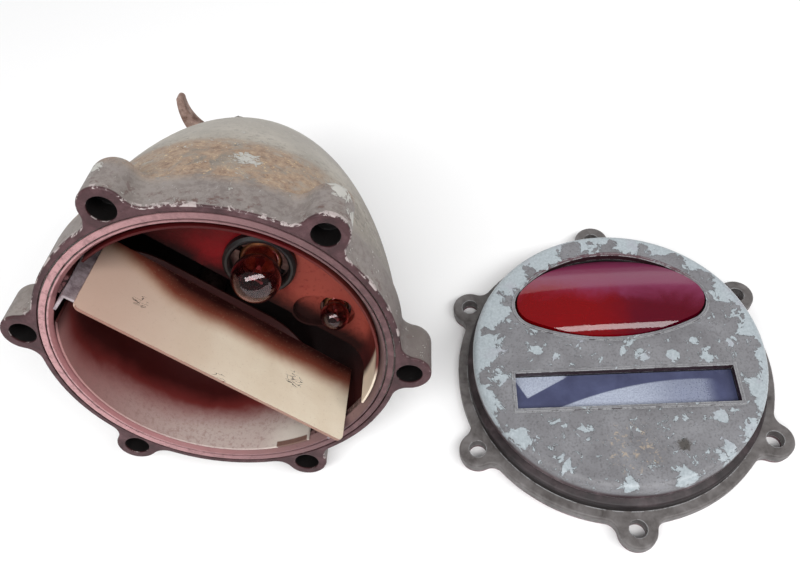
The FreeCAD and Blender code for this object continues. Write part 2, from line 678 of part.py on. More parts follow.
def bulb_base(name, place, kind, pin_r, pin_out):
    r, tall = f"{kind}_base_r", f"{kind}_base_tall"
    body = turned(f"{name}_bulb_base", place, (
        ("0", "-0.8"), ("1.6", "-0.8"), ("2.2", "0"), (f"{r} - 0.7", "0"), (r, "0.8"),
        (r, f"{tall} - 0.6"), (f"{r} - 0.6", tall), ("0", tall),
    ))
    pins = circle(new_sketch(body, "YZ_Plane", lift=f"-{r} - {pin_out}"), "0", f"{tall} * 0.4", pin_r)
    extrude(body, "Pad", pins, f"2 * ({r} + {pin_out})")


def bulb_filament(name, place, kind):
    """Glass stem, two support wires with a bead at each tip, and the coiled filament between."""
    base, up = size(f"{kind}_base_tall"), size(f"{kind}_globe_up")
    stem_r, apart, wire_r = base * 0.13, base * 0.15, 0.28
    stem_top = base + (up - base) * 0.45
    shape = Part.makeCone(stem_r, stem_r * 0.5, stem_top - base, Vector(0, 0, base))
    for side in (1, -1):
        foot, head = Vector(side * stem_r * 0.3, 0, stem_top - 1), Vector(side * apart, 0, up + 1)
        along = head - foot
        shape = shape.fuse(Part.makeCylinder(wire_r, along.Length, foot, along))
        shape = shape.fuse(Part.makeSphere(0.62, head))
    bar = Part.makeCylinder(0.35, 2 * apart, Vector(-apart, 0, up + 1), Vector(1, 0, 0))
    feature = doc.addObject("Part::Feature", f"{name}_bulb_filament")
    feature.Shape = shape.fuse(bar)
    feature.Placement = place
    parts.append(feature)


def lamp_socket(name, place, kind, flange_r, pin_out):
    """Bayonet socket: shell with two axial slots, rubber boot, and a sprung insulator and contact."""
    bore = f"{kind}_base_r + socket_gap"
    skin = f"{bore} + socket_wall"
    tall = f"{kind}_base_tall"
    front = f"{tall} + 0.2"
    shell = turned(f"{name}_socket_shell", place, (
        ("2.2", "socket_back"), (skin, "socket_back"), (skin, f"{front} - 0.8"),
        (flange_r, f"{front} - 0.8"), (flange_r, front), (bore, front),
        (bore, "socket_back + 1"), ("2.2", "socket_back + 1"),
    ))
    slots = new_sketch(shell, lift=f"{tall} * 0.4 - 1.2")
    box_outline(slots, "0", "0", f"2 * ({skin} + {pin_out})", "2.4")
    extrude(shell, "Pocket", slots, tall, reverse=True)
    turned(f"{name}_socket_boot", place, (
        ("lead_r", "boot_tail"), ("lead_r + 1.4", "boot_tail"), (f"{skin} + 1.2", "socket_back - 1.5"),
        (f"{skin} + 1.2", "socket_back + 4"), (skin, "socket_back + 4"), (skin, "socket_back"),
        ("lead_r", "socket_back"),
    ))
    disc = f"{bore} - 0.3"
    turned(f"{name}_socket_insulator", place, (
        ("1.2", "-5.2"), (disc, "-5.2"), (disc, "-2.2"), ("1.2", "-2.2"),
    ))
    turned(f"{name}_socket_contact", place, (
        ("0", "-8"), ("1.2", "-8"), ("1.2", "-2.2"), ("2.2", "-2.2"), ("1.8", "-0.85"), ("0", "-0.85"),
    ))
    contact_spring(name, place, size(bore) - 1.3)


def contact_spring(name, place, coil_r):
    """A round-wire compression spring between the socket's back and its insulator."""
    wire_r, turns, steps = 0.4, 2.5, 40
    low, high = size("socket_back") + 1 + wire_r, -5.2 - wire_r
    spots = []
    for i in range(steps + 1):
        spots.append(polar(coil_r, 360 * turns * i / steps, Vector(0, 0, (high - low) * i / steps)))
    helix = Part.BSplineCurve()
    helix.interpolate(spots)
    section = Part.Wire(Part.makeCircle(wire_r, spots[0], Vector(0, 1, 0)))
    shape = Part.Wire(helix.toShape()).makePipeShell([section], True, True)
    feature = doc.addObject("Part::Feature", f"{name}_contact_spring")
    feature.Shape = shape
    feature.Placement = place.multiply(Placement(Vector(0, 0, low), Rotation()))
    parts.append(feature)


def lamp(name, kind, flange_r, seat, pin_r, pin_out):
    """A bulb in its socket, whose flange lies against a reflector's back at height seat."""
    tall = size(f"{kind}_base_tall")
    spot = Vector(size(f"{name}_x"), size(f"{name}_y"), seat - tall - 0.2)
    place = bowl.multiply(Placement(spot, Rotation()))
    lamp_socket(name, place, kind, flange_r, pin_out)
    bulb_base(name, place, kind, pin_r, pin_out)
    glass = new_body(f"{name}_bulb_glass", place)
    globe_section(new_sketch(glass, "XZ_Plane"), size(f"{kind}_neck_r"), size(f"{kind}_globe_r"),
                  size(f"{kind}_globe_up"), tall)
    turn(glass, "Revolution", glass.Group[-1])
    bulb_filament(name, place, kind)
    return spot


def rounded_path(points):
    """Straight runs through the points, joined by tangent arcs."""
    edges = []
    start = points[0]
    for i in range(1, len(points) - 1):
        corner = points[i]
        come, go = (corner - points[i - 1]), (points[i + 1] - corner)
        half = come.getAngle(go) / 2
        cut = 0.45 * min(come.Length, go.Length)
        first, last = corner - come.normalize() * cut, corner + go.normalize() * cut
        inward = (go - come).normalize()
        middle = corner + inward * (cut * math.tan(half) * (1 / math.cos(half) - 1) / math.tan(half) ** 2)
        edges.append(Part.LineSegment(start, first).toShape())
        edges.append(Part.Arc(first, middle, last).toShape())
        start = last
    edges.append(Part.LineSegment(start, points[-1]).toShape())
    return Part.Wire(edges)


def socket_leads(spots):
    """One insulated lead from each socket's boot to the grommet's bore."""
    leads = []
    for k, spot in enumerate(spots):
        leave = spot + Vector(0, 0, size("boot_tail"))
        inside = polar(2.2, 90 + 120 * (k if k == 0 else 3 - k))
        turn_at = leave - Vector(0, 0, 7)
        enter = Vector(inside.x, inside.y, -95)
        finish = Vector(inside.x, inside.y, size("gland_nose"))
        path = rounded_path([leave, turn_at, enter, finish])
        section = Part.Wire(Part.makeCircle(size("lead_r"), leave, Vector(0, 0, 1)))
        leads.append(path.makePipeShell([section], True, False))
    feature = doc.addObject("Part::Feature", "socket_leads")
    feature.Shape = Part.makeCompound(leads)
    feature.Placement = bowl
    parts.append(feature)


# ---- door ---------------------------------------------------------------------------------------


def door_casting():
    body = new_body("door_casting", door)
    under = "face_up - face_thick"
    section = (
        ("0", under), ("cavity_r - 2", under), ("cavity_r", f"{under} - 2"),
        ("cavity_r", "-flange_thick"), ("collar_r", "-flange_thick"), ("collar_r", "collar_tall"),
        ("cap_r - cap_groove", "collar_tall + 0.8"), ("cap_r - cap_groove", "collar_tall + 2"),
        ("cap_r", "collar_tall + 2.8"), ("cap_r", "face_up"), ("0", "face_up"),
    )
    dish = turn(body, "Revolution", polygon(new_sketch(body, "XZ_Plane"), section))
    edge = fillet(body, dish, lambda e: at_height(e, size("face_up")), "face_round_r")
    fillet(body, edge, lambda e: at_height(e, size("collar_tall")), "1.2")
    plate = new_sketch(body, lift="-flange_thick")
    lobed_outline(plate, size("flange_r"), size("ear_r"), size("ear_blend_r"))
    join_ends(plate, 0)
    circle(plate, "0", "0", "cavity_r")
    flange = extrude(body, "Pad", plate, "flange_thick")
    fillet(body, flange, lambda e: at_height(e, 0) and outside(e, size("collar_r") + 1), "ear_round_r")
    extrude(body, "Pocket", hole_ring(new_sketch(body), "ear_hole_r"), "flange_thick")
    lips = new_sketch(body, lift="face_up - 1")
    eye_outline(lips, size("eye_gap + lip_wide"))
    extrude(body, "Pad", lips, "lip_tall + 1")
    lips = new_sketch(body, lift="face_up - 1")
    box_outline(lips, "slot_x", "slot_y", "slot_long + 2 * lip_wide", "slot_wide + 2 * lip_wide")
    extrude(body, "Pad", lips, "lip_tall + 1")
    eye = eye_outline(new_sketch(body, lift="face_up + 2"), size("eye_gap"))
    extrude(body, "Pocket", eye, "face_thick + 4")
    slot = new_sketch(body, lift="face_up + 2")
    box_outline(slot, "slot_x", "slot_y", "slot_long", "slot_wide")
    extrude(body, "Pocket", slot, "face_thick + 4")
    taps = new_sketch(body, lift=under)
    for x, y in red_screw_spots() + slot_screw_spots():
        circle(taps, x, y, "screw_r")
    extrude(body, "Pocket", taps, "screw_in", reverse=True)


def red_screw_spots():
    """Two screws above and two below the red lens, on its outline grown by screw_grow."""
    spots = []
    for side in ("", "-"):
        spots.append((f"{side}1 * (eye_top_r + screw_grow) * sin(25 deg)",
                      "eye_top_y + (eye_top_r + screw_grow) * cos(25 deg)"))
        spots.append((f"{side}1 * (eye_low_r + screw_grow) * sin(12 deg)",
                      "eye_low_y - (eye_low_r + screw_grow) * cos(12 deg)"))
    return spots


def slot_screw_spots():
    return [(f"slot_x + {a} * pane_screw_x", f"slot_y + {b} * pane_screw_y")
            for a in (-1, 1) for b in (-1, 1)]


def door_gasket():
    body = new_body("door_gasket", door)
    ring = new_sketch(body, lift="-flange_thick - gasket_thick")
    lobed_outline(ring, size("flange_r - 0.4"), size("ear_r - 0.3"), size("ear_blend_r"))
    join_ends(ring, 0)
    circle(ring, "0", "0", "gasket_inner_r")
    hole_ring(ring, "ear_hole_r + 0.2")
    extrude(body, "Pad", ring, "gasket_thick")


LENS_FRONT = "face_up - face_thick - pack_thick"
RED_BACK = "face_up - face_thick - pack_thick - 3"
PANE_BACK = "face_up - face_thick - pack_thick - pane_thick"


def red_lens():
    """Domed glass: an eye-shaped prism topped by part of an ellipsoid, on a hidden flange."""
    back, front = size(RED_BACK), size(LENS_FRONT)
    prism = Part.Face(Part.Wire(Part.sortEdges([e.toShape() for e in eye_edges(0)])[0]))
    prism.translate(Vector(0, 0, back))
    prism = prism.extrude(Vector(0, 0, 20))
    stretch = FreeCAD.Matrix()
    stretch.scale(50, 26, size("lens_crown"))
    dome = Part.makeSphere(1).transformGeometry(stretch)
    dome.translate(Vector(0, 24.9, size("lens_crown_up")))
    flange = Part.Face(Part.Wire(Part.sortEdges([e.toShape() for e in eye_edges(size("lens_flange"))])[0]))
    flange.translate(Vector(0, 0, back))
    flange = flange.extrude(Vector(0, 0, front - back))
    feature = doc.addObject("Part::Feature", "red_lens")
    feature.Shape = prism.common(dome.fuse(Part.makeBox(120, 80, front - back, Vector(-60, -15, back)))
                                 ).fuse(flange).removeSplitter()
    feature.Placement = door
    parts.append(feature)


def red_lens_packing():
    """Black rubber between the lens's flange and the casting."""
    body = new_body("red_lens_gasket", door)
    flat = eye_outline(new_sketch(body, lift=LENS_FRONT), size("lens_flange"))
    eye_outline(flat, size("lens_clear"))
    extrude(body, "Pad", flat, "pack_thick")


def red_lens_retainer():
    body = new_body("red_lens_retainer", door)
    frame = eye_outline(new_sketch(body, lift=f"{RED_BACK} - frame_thick"), size("frame_grow"))
    eye_outline(frame, -3)
    for x, y in red_screw_spots():
        circle(frame, x, y, "screw_r + 0.2")
    extrude(body, "Pad", frame, "frame_thick")


def retainer_screws(label, spots, seat):
    """Round-head screws from below, through a retainer at height seat and into the face."""
    body = new_body(label, door)
    shanks = new_sketch(body, lift=seat)
    heads = new_sketch(body, lift=seat)
    for x, y in spots:
        circle(shanks, x, y, "screw_r")
        circle(heads, x, y, "screw_head_r")
    extrude(body, "Pad", shanks, f"face_up - face_thick + screw_in - ({seat})")
    extrude(body, "Pad", heads, "screw_head_tall", reverse=True)
    return body


def slot_lens():
    body = new_body("slot_lens", door)
    pane = new_sketch(body, lift=PANE_BACK)
    box_outline(pane, "slot_x", "slot_y", "pane_long", "pane_wide")
    extrude(body, "Pad", pane, "pane_thick")


def slot_lens_packing():
    body = new_body("slot_lens_gasket", door)
    ring = new_sketch(body, lift=LENS_FRONT)
    box_outline(ring, "slot_x", "slot_y", "pane_long", "pane_wide")
    box_outline(ring, "slot_x", "slot_y", "slot_long", "slot_wide")
    extrude(body, "Pad", ring, "pack_thick")


def slot_lens_retainer():
    body = new_body("slot_lens_retainer", door)
    frame = new_sketch(body, lift=f"{PANE_BACK} - frame_thick")
    box_outline(frame, "slot_x", "slot_y", "pane_frame_long", "pane_frame_wide")
    box_outline(frame, "slot_x", "slot_y", "slot_long - 4", "slot_wide - 3")
    for x, y in slot_screw_spots():
        circle(frame, x, y, "screw_r + 0.2")
    extrude(body, "Pad", frame, "frame_thick")


# ---- build, settle on the bench and write -------------------------------------------------------


def whole_box():
    box = FreeCAD.BoundBox()
    for part in parts:
        box.add(part.Shape.BoundBox)
    return box


def shift(part, move):
    part.Placement = Placement(part.Placement.Base + move, part.Placement.Rotation)


def settle():
    """Lower the bowl until it touches the bench, then put the origin at the box's bottom centre."""
    in_bowl = [p for p in parts if p.Placement.Base.z != door.Base.z]
    lowest = min(p.Shape.optimalBoundingBox(False).ZMin for p in in_bowl)
    for part in in_bowl:
        shift(part, Vector(0, 0, -lowest))
    doc.recompute()
    box = whole_box()
    for part in parts:
        shift(part, Vector(-box.Center.x, -box.Center.y, -box.ZMin))
    doc.recompute()
    print("mouth centre", [round(c, 3) for c in parts[0].Placement.Base])


def check_and_write():
    for item in doc.Objects:
        if "Invalid" in item.State or "Error" in item.State:
            raise RuntimeError(f"{item.Label}: {item.State}")
    os.makedirs("parts", exist_ok=True)
    for part in parts:
        shape = part.Shape
        if shape.isNull() or not shape.isValid() or not shape.Solids:
            raise RuntimeError(f"{part.Label} has no valid solid")
        print(part.Label, len(shape.Solids), round(shape.Volume / 1000, 3))
        shape.exportStep(f"parts/{part.Label}.step")


housing_shell()
mounting_studs()
mounting_bracket()
mounting_washers()
mounting_nuts()
cable_grommet()
shelf_plate()
shelf_brackets()
bracket_rivets()
upper_reflector()
lower_reflector()
stop_lamp_ring()
stop_spot = lamp("stop", "big", "12.2", size("upper_back - sheet"), "0.9", "1.1")
tail_spot = lamp("tail", "small", "7.6", size("upper_back - well_deep"), "0.7", "0.9")
blackout_spot = lamp("blackout", "small", "8.0", size("lower_back - sheet"), "0.7", "0.9")
socket_leads([stop_spot, tail_spot, blackout_spot])
door_casting()
door_gasket()
red_lens()
red_lens_packing()
red_lens_retainer()
retainer_screws("red_lens_screws", red_screw_spots(), f"{RED_BACK} - frame_thick")
slot_lens()
slot_lens_packing()
slot_lens_retainer()
retainer_screws("slot_lens_screws", slot_screw_spots(), f"{PANE_BACK} - frame_thick")
doc.recompute()
settle()
check_and_write()
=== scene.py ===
import json
import math

import bmesh
import bpy
from mathutils import Matrix, Vector


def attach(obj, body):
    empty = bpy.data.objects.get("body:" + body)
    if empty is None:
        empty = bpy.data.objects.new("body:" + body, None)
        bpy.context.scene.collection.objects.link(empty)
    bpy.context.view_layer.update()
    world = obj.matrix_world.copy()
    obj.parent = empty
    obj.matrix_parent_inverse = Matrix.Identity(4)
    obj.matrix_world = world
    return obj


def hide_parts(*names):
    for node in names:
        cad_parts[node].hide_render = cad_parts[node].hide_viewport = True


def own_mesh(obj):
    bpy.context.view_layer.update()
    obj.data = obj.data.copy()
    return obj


# Round military-pattern tail light, taken apart on a bench: a cast bowl on its side and a lens door.
# Lengths are millimetres in a half's own frame, and MM turns them into Blender's metres. The bowl's
# frame has Z out of the mouth and 0 at the mouth; the door's has Z up and 0 at the ears' upper side.

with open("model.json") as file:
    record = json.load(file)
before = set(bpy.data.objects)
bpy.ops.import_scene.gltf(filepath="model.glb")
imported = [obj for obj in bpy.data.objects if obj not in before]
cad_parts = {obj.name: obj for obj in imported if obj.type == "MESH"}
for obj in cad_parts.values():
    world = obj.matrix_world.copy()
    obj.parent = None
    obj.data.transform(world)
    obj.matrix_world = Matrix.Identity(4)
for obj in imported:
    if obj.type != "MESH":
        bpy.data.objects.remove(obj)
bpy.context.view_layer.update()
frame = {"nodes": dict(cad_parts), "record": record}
nodes = frame["nodes"]
mounts = {mount["name"]: mount for mount in frame["record"]["mounts"]}
MM = 0.001

# ---- the two halves' own frames -----------------------------------------------------------------

SEAT_BELOW_MOUTH = 4.0
EARS_ABOVE_HOLES = 2.25
FACE = 16.0
HOLE_CIRCLE_RADIUS = 66.675
BOWL_PITCH, BOWL_ROLL = math.radians(75), math.radians(-42.3)
# Directions in the bowl's frame, as it lies: to the right, and up.
RIGHT_X, RIGHT_Y = 0.74, 0.67
UP_X, UP_Y = -0.65, 0.76


def mount_spot(name, along):
    """A mount's centre, moved along its axis."""
    mount = mounts[name]
    return Vector(mount["pos_m"]) + Vector(mount["axis"]) * (along * MM)


bowl_turn = Matrix.Rotation(BOWL_PITCH, 4, "X") @ Matrix.Rotation(BOWL_ROLL, 4, "Z")
BOWL = Matrix.Translation(mount_spot("bowl_screw_seats", SEAT_BELOW_MOUTH)) @ bowl_turn
DOOR = Matrix.Translation(mount_spot("door_ear_holes", EARS_ABOVE_HOLES))


# ---- materials ----------------------------------------------------------------------------------

BEVEL_SAMPLES = 6
GLASS_IOR = 1.5
# A Mix node has its factor and its two inputs for each kind of value in one list of sockets.
MIX_COLOURS, MIX_NUMBERS = (6, 7), (2, 3)


def tint(red, green, blue):
    """A display colour, 0 to 255, as the linear colour that shaders use."""
    return tuple((c / 255) ** 2.2 for c in (red, green, blue)) + (1.0,)


class Surface:
    """A Principled material under construction. Places are millimetres in the frame given.

    Its methods take and give sockets or plain numbers, so masks and colours combine like values.
    """

    def __init__(self, name, place, **settings):
        self.material = bpy.data.materials.new(name)
        self.material.use_nodes = True
        self.tree = self.material.node_tree
        self.shader = self.tree.nodes["Principled BSDF"]
        for label, value in settings.items():
            self.shader.inputs[label.replace("_", " ")].default_value = value
        mapping = self.new("ShaderNodeMapping", vector_type="TEXTURE")
        mapping.inputs["Location"].default_value = place.to_translation()
        mapping.inputs["Rotation"].default_value = place.to_euler()
        mapping.inputs["Scale"].default_value = (MM, MM, MM)
        self.join(self.new("ShaderNodeTexCoord").outputs["Object"], mapping.inputs["Vector"])
        self.spot = mapping.outputs[0]
        split = self.new("ShaderNodeSeparateXYZ")
        self.join(self.spot, split.inputs[0])
        self.x, self.y, self.z = split.outputs

    def new(self, kind, **settings):
        node = self.tree.nodes.new(kind)
        for label, value in settings.items():
            setattr(node, label, value)
        return node

    def join(self, source, target):
        """Feed a socket from another socket, or set it to a plain value."""
        if isinstance(source, bpy.types.NodeSocket):
            self.tree.links.new(source, target)
        else:
            target.default_value = source

    def math(self, operation, *values):
        node = self.new("ShaderNodeMath", operation=operation)
        for value, socket in zip(values, node.inputs):
            self.join(value, socket)
        return node.outputs[0]

    def add(self, *values):
        total = values[0]
        for value in values[1:]:
            total = self.math("ADD", total, value)
        return total

    def times(self, *values):
        total = values[0]
        for value in values[1:]:
            total = self.math("MULTIPLY", total, value)
        return total

    def most(self, *values):
        total = values[0]
        for value in values[1:]:
            total = self.math("MAXIMUM", total, value)
        return total

    def rise(self, value, low, high):
        """0 below low, 1 above high, smooth between; high may be the smaller."""
        node = self.new("ShaderNodeMapRange", interpolation_type="SMOOTHSTEP")
        self.join(value, node.inputs["Value"])
        if low < high:
            limits = (low, high, 0.0, 1.0)
        else:
            limits = (high, low, 1.0, 0.0)
        for label, limit in zip(("From Min", "From Max", "To Min", "To Max"), limits):
            node.inputs[label].default_value = limit
        return node.outputs["Result"]

    def band(self, value, low, high, soft):
        """1 between low and high, fading out over soft on either side."""
        return self.times(self.rise(value, low - soft, low), self.rise(value, high + soft, high))

    def stretched(self, by):
        node = self.new("ShaderNodeVectorMath", operation="MULTIPLY")
        self.join(self.spot, node.inputs[0])
        node.inputs[1].default_value = by
        return node.outputs[0]

    def noise(self, grain, detail=4.0, rough=0.55, warp=0.0, at=None, seed=0.0):
        """Cloudy noise about 0.5, its features about grain millimetres across."""
        node = self.new("ShaderNodeTexNoise", noise_dimensions="4D")
        self.join(at or self.spot, node.inputs["Vector"])
        node.inputs["W"].default_value = seed
        node.inputs["Scale"].default_value = 1 / grain
        node.inputs["Detail"].default_value = detail
        node.inputs["Roughness"].default_value = rough
        node.inputs["Distortion"].default_value = warp
        return node.outputs[0]

    def distance(self, place):
        """How far a point is from a place in the frame."""
        node = self.new("ShaderNodeVectorMath", operation="DISTANCE")
        self.join(self.spot, node.inputs[0])
        node.inputs[1].default_value = place
        return node.outputs["Value"]

    def radius(self, x=0.0, y=0.0):
        """Distance from an axis along the frame's Z."""
        across, up = self.math("SUBTRACT", self.x, x), self.math("SUBTRACT", self.y, y)
        squares = self.add(self.times(across, across), self.times(up, up))
        return self.math("SQRT", squares)

    def rounded(self, radius):
        """The surface's normal as if its edges were rounded."""
        bevel = self.new("ShaderNodeBevel", samples=BEVEL_SAMPLES)
        bevel.inputs["Radius"].default_value = radius * MM
        return bevel.outputs[0]

    def edges(self, radius, low, high):
        """1 near the shape's edges, from how far a bevel would turn the surface."""
        flat = self.new("ShaderNodeNewGeometry")
        dot = self.new("ShaderNodeVectorMath", operation="DOT_PRODUCT")
        self.join(self.rounded(radius), dot.inputs[0])
        self.join(flat.outputs["Normal"], dot.inputs[1])
        return self.rise(self.math("SUBTRACT", 1.0, dot.outputs["Value"]), low, high)

    def facing(self, axis):
        """How squarely the surface faces a direction of the CAD's frame: 1 to -1."""
        flat = self.new("ShaderNodeNewGeometry")
        dot = self.new("ShaderNodeVectorMath", operation="DOT_PRODUCT")
        self.join(flat.outputs["Normal"], dot.inputs[0])
        dot.inputs[1].default_value = axis
        return dot.outputs["Value"]

    def mix(self, share, under, over):
        """The colour under where share is 0, over where it is 1."""
        node = self.new("ShaderNodeMix", data_type="RGBA")
        self.join(share, node.inputs["Factor"])
        for colour, socket in zip((under, over), MIX_COLOURS):
            self.join(colour, node.inputs[socket])
        return node.outputs[2]

    def blend(self, share, under, over):
        """The number under where share is 0, over where it is 1."""
        node = self.new("ShaderNodeMix", data_type="FLOAT")
        self.join(share, node.inputs[0])
        for number, socket in zip((under, over), MIX_NUMBERS):
            self.join(number, node.inputs[socket])
        return node.outputs[0]

    def ramp(self, value, *stops):
        """A colour from a value: each stop is a place from 0 to 1 and a colour."""
        node = self.new("ShaderNodeValToRGB")
        self.join(value, node.inputs[0])
        elements = node.color_ramp.elements
        while len(elements) < len(stops):
            elements.new(0.5)
        for element, (place, colour) in zip(elements, stops):
            element.position = place
            element.color = colour
        return node.outputs[0]

    def set(self, **values):
        for label, value in values.items():
            self.join(value, self.shader.inputs[label.replace("_", " ")])

    def relief(self, *layers, rounding=0.0):
        """Bump from layers of (height from 0 to 1, its depth in millimetres)."""
        normal = self.rounded(rounding) if rounding else None
        for height, depth in layers:
            bump = self.new("ShaderNodeBump")
            bump.inputs["Distance"].default_value = depth * MM
            self.join(height, bump.inputs["Height"])
            if normal is not None:
                self.join(normal, bump.inputs["Normal"])
            normal = bump.outputs[0]
        self.join(normal, self.shader.inputs["Normal"])

    def on(self, *names):
        """Put the material on CAD nodes."""
        for name in names:
            slots = nodes[name].data.materials
            slots.clear()
            slots.append(self.material)


def over_bowl(skin):
    """How far left to right as it lies (0 to 1), and how high above the bowl's axis in millimetres."""
    side = skin.add(skin.times(skin.x, RIGHT_X), skin.times(skin.y, RIGHT_Y))
    up = skin.add(skin.times(skin.x, UP_X), skin.times(skin.y, UP_Y))
    return skin.rise(side, -60, 60), up


def inward(skin, depth):
    """1 where the surface faces a point on the frame's axis, 0 where it faces away."""
    axes = [BOWL.to_3x3() @ Vector(axis) for axis in ((1, 0, 0), (0, 1, 0), (0, 0, 1))]
    places = (skin.x, skin.y, skin.math("ADD", skin.z, depth))
    out = skin.add(*[skin.times(skin.facing(axis), place) for axis, place in zip(axes, places)])
    return skin.rise(out, 0, -2)


def from_screw_axis(skin):
    """Distance from the nearest of the six screw axes, the first at 12 o'clock."""
    turn = skin.math("ARCTAN2", skin.y, skin.x)
    folded = skin.math("DIVIDE", skin.math("SUBTRACT", turn, math.pi / 6), math.pi / 3)
    folded = skin.math("SUBTRACT", folded, skin.math("ROUND", folded))
    angle = skin.times(folded, math.pi / 3)
    r = skin.radius()
    along = skin.math("SUBTRACT", skin.times(r, skin.math("COSINE", angle)), HOLE_CIRCLE_RADIUS)
    across = skin.times(r, skin.math("SINE", angle))
    return skin.math("SQRT", skin.add(skin.times(along, along), skin.times(across, across)))


BOWL_BARE_PATCHES = (
    # place and radius: where the bowl's paint has come away
    ((-26.6, 54.2, -31.8), 8), ((-1, 74, -14), 7), ((5, 72, -7), 5), ((-66, 36, -12), 5),
)


def bowl_outside(skin, cloud, fine, side, up):
    """Taupe paint, streaked, with painted sky light on top, painted shade low on the right and brown
    behind the top bosses.
    """
    streaks = skin.noise(3.0, 6, 0.7, 0.3, at=skin.stretched((1, 1, 0.25)), seed=21)
    paint = skin.ramp(cloud, (0.32, tint(112, 104, 95)), (0.5, tint(148, 140, 129)),
                      (0.7, tint(176, 168, 156)))
    paint = skin.mix(skin.times(skin.rise(fine, 0.48, 0.66), 0.7), paint, tint(92, 84, 78))
    paint = skin.mix(skin.times(skin.rise(streaks, 0.55, 0.7), 0.35), paint, tint(186, 180, 168))
    # Painted sky light: paler on the top of the dome.
    sky = skin.times(skin.rise(skin.z, -42, -60), skin.rise(up, 5, 40), 0.45)
    paint = skin.mix(sky, paint, tint(198, 193, 184))
    # Painted shade: darker low on the right side of the bowl.
    shade = skin.times(side, skin.rise(up, 45, -5), skin.rise(cloud, 0.2, 0.5))
    paint = skin.mix(skin.times(shade, 0.75), paint, tint(92, 86, 80))
    near = skin.rise(skin.z, -28, -10)
    # Near the mouth the grey paint takes the same painted shade low on the right.
    grey = skin.mix(skin.times(shade, 0.8), tint(138, 130, 128), tint(94, 86, 82))
    grey = skin.mix(skin.rise(fine, 0.4, 0.62), tint(104, 94, 94), grey)
    paint = skin.mix(skin.times(near, 0.7), paint, grey)
    dirt_place = skin.times(skin.band(skin.z, -43, -19, 7), skin.rise(up, 36, 50))
    dirt = skin.times(skin.rise(skin.noise(8, 7, 0.72, 0.8, seed=5), 0.36, 0.56), dirt_place)
    brown = skin.ramp(fine, (0.35, tint(116, 86, 66)), (0.52, tint(158, 130, 106)),
                      (0.68, tint(190, 166, 138)))
    paint = skin.mix(skin.times(dirt, 0.85), paint, brown)
    specks = skin.rise(skin.noise(1.1, 4, 0.8, 0.6, seed=8), 0.6, 0.64)
    return skin.mix(skin.times(specks, dirt_place), paint, tint(214, 186, 140))


def bowl_bare(skin):
    """Where the bowl's paint is off: ragged flakes, mostly in patches, and long scratches."""
    flaking = skin.noise(3.2, 7, 0.72, 1.2, seed=14)
    lost = skin.most(*[skin.times(skin.rise(skin.distance(place), radius, 1), 0.22)
                       for place, radius in BOWL_BARE_PATCHES])
    lost = skin.rise(skin.add(flaking, lost), 0.62, 0.64)
    scratches = skin.noise(2.0, 3, 0.6, 0.1, at=skin.stretched((3.5, 3.5, 0.18)), seed=31)
    return skin.most(lost, skin.times(skin.rise(scratches, 0.69, 0.71), 0.6))


def bowl_worn(skin, up):
    """Where the bowl's edges are rubbed bare, most of all at its front."""
    ragged = skin.add(skin.noise(5, 6, 0.7, 0.5, seed=9), skin.times(skin.rise(up, 20, 60), 0.06))
    worn = skin.times(skin.edges(1.5, 0.03, 0.16), skin.rise(ragged, 0.5, 0.54))
    front_edge = skin.rise(skin.z, -9, -2)
    return skin.times(worn, skin.add(0.5, skin.times(front_edge, 0.3)))


def bowl_flange(skin, paint, fine, r, side, up):
    """The dark, flaking front face round the mouth, and the pinkish ring that the gasket left."""
    flange = skin.rise(skin.z, -1.2, -0.6)
    dark = skin.ramp(skin.noise(7, 6, 0.68, 0.5, seed=11), (0.32, tint(44, 20, 23)),
                     (0.5, tint(66, 38, 42)), (0.7, tint(92, 64, 68)))
    paint = skin.mix(flange, paint, dark)
    ragged = skin.add(skin.noise(4.5, 7, 0.72, 0.5, seed=17), skin.times(skin.rise(up, 10, 60), 0.05))
    flaked = skin.times(skin.band(skin.z, -2.0, -0.12, 0.1), skin.rise(r, 61.6, 62.2),
                        skin.rise(ragged, 0.55, 0.58))
    paint = skin.mix(flaked, paint, tint(172, 160, 158))
    seat = skin.times(skin.band(r, 57.2, 60.9, 0.15), skin.rise(skin.z, -0.9, -0.5))
    ring = skin.mix(side, tint(196, 148, 150), tint(84, 58, 60))
    ring = skin.mix(skin.times(skin.rise(fine, 0.45, 0.65), 0.6), ring, tint(120, 88, 90))
    return skin.mix(skin.times(seat, 0.85), paint, ring)


def bowl_inside(skin, paint, r, side):
    """Painted shade inside, darkest deepest, and a flaking pinkish band just within the mouth."""
    # Painted shade on the inner faces, near black deepest in the bowl.
    painted_shade = skin.mix(skin.rise(skin.z, -40, -12), tint(26, 9, 9), tint(58, 24, 22))
    within = skin.times(inward(skin, 30), skin.rise(skin.z, -0.3, -0.6))
    paint = skin.mix(within, paint, painted_shade)
    lip = skin.times(skin.rise(r, 57.6, 57.2), skin.rise(skin.z, -6.5, -5.2))
    fade = skin.add(skin.times(side, 0.8), skin.times(skin.noise(6, 6, 0.7, seed=13), 0.3))
    paint = skin.mix(lip, paint, skin.mix(fade, tint(158, 104, 106), tint(104, 84, 82)))
    flakes = skin.times(lip, skin.rise(skin.z, -2.6, -3.4),
                        skin.rise(skin.noise(3, 6, 0.75, 0.8, seed=19), 0.47, 0.5))
    return skin.mix(flakes, paint, tint(52, 28, 30))


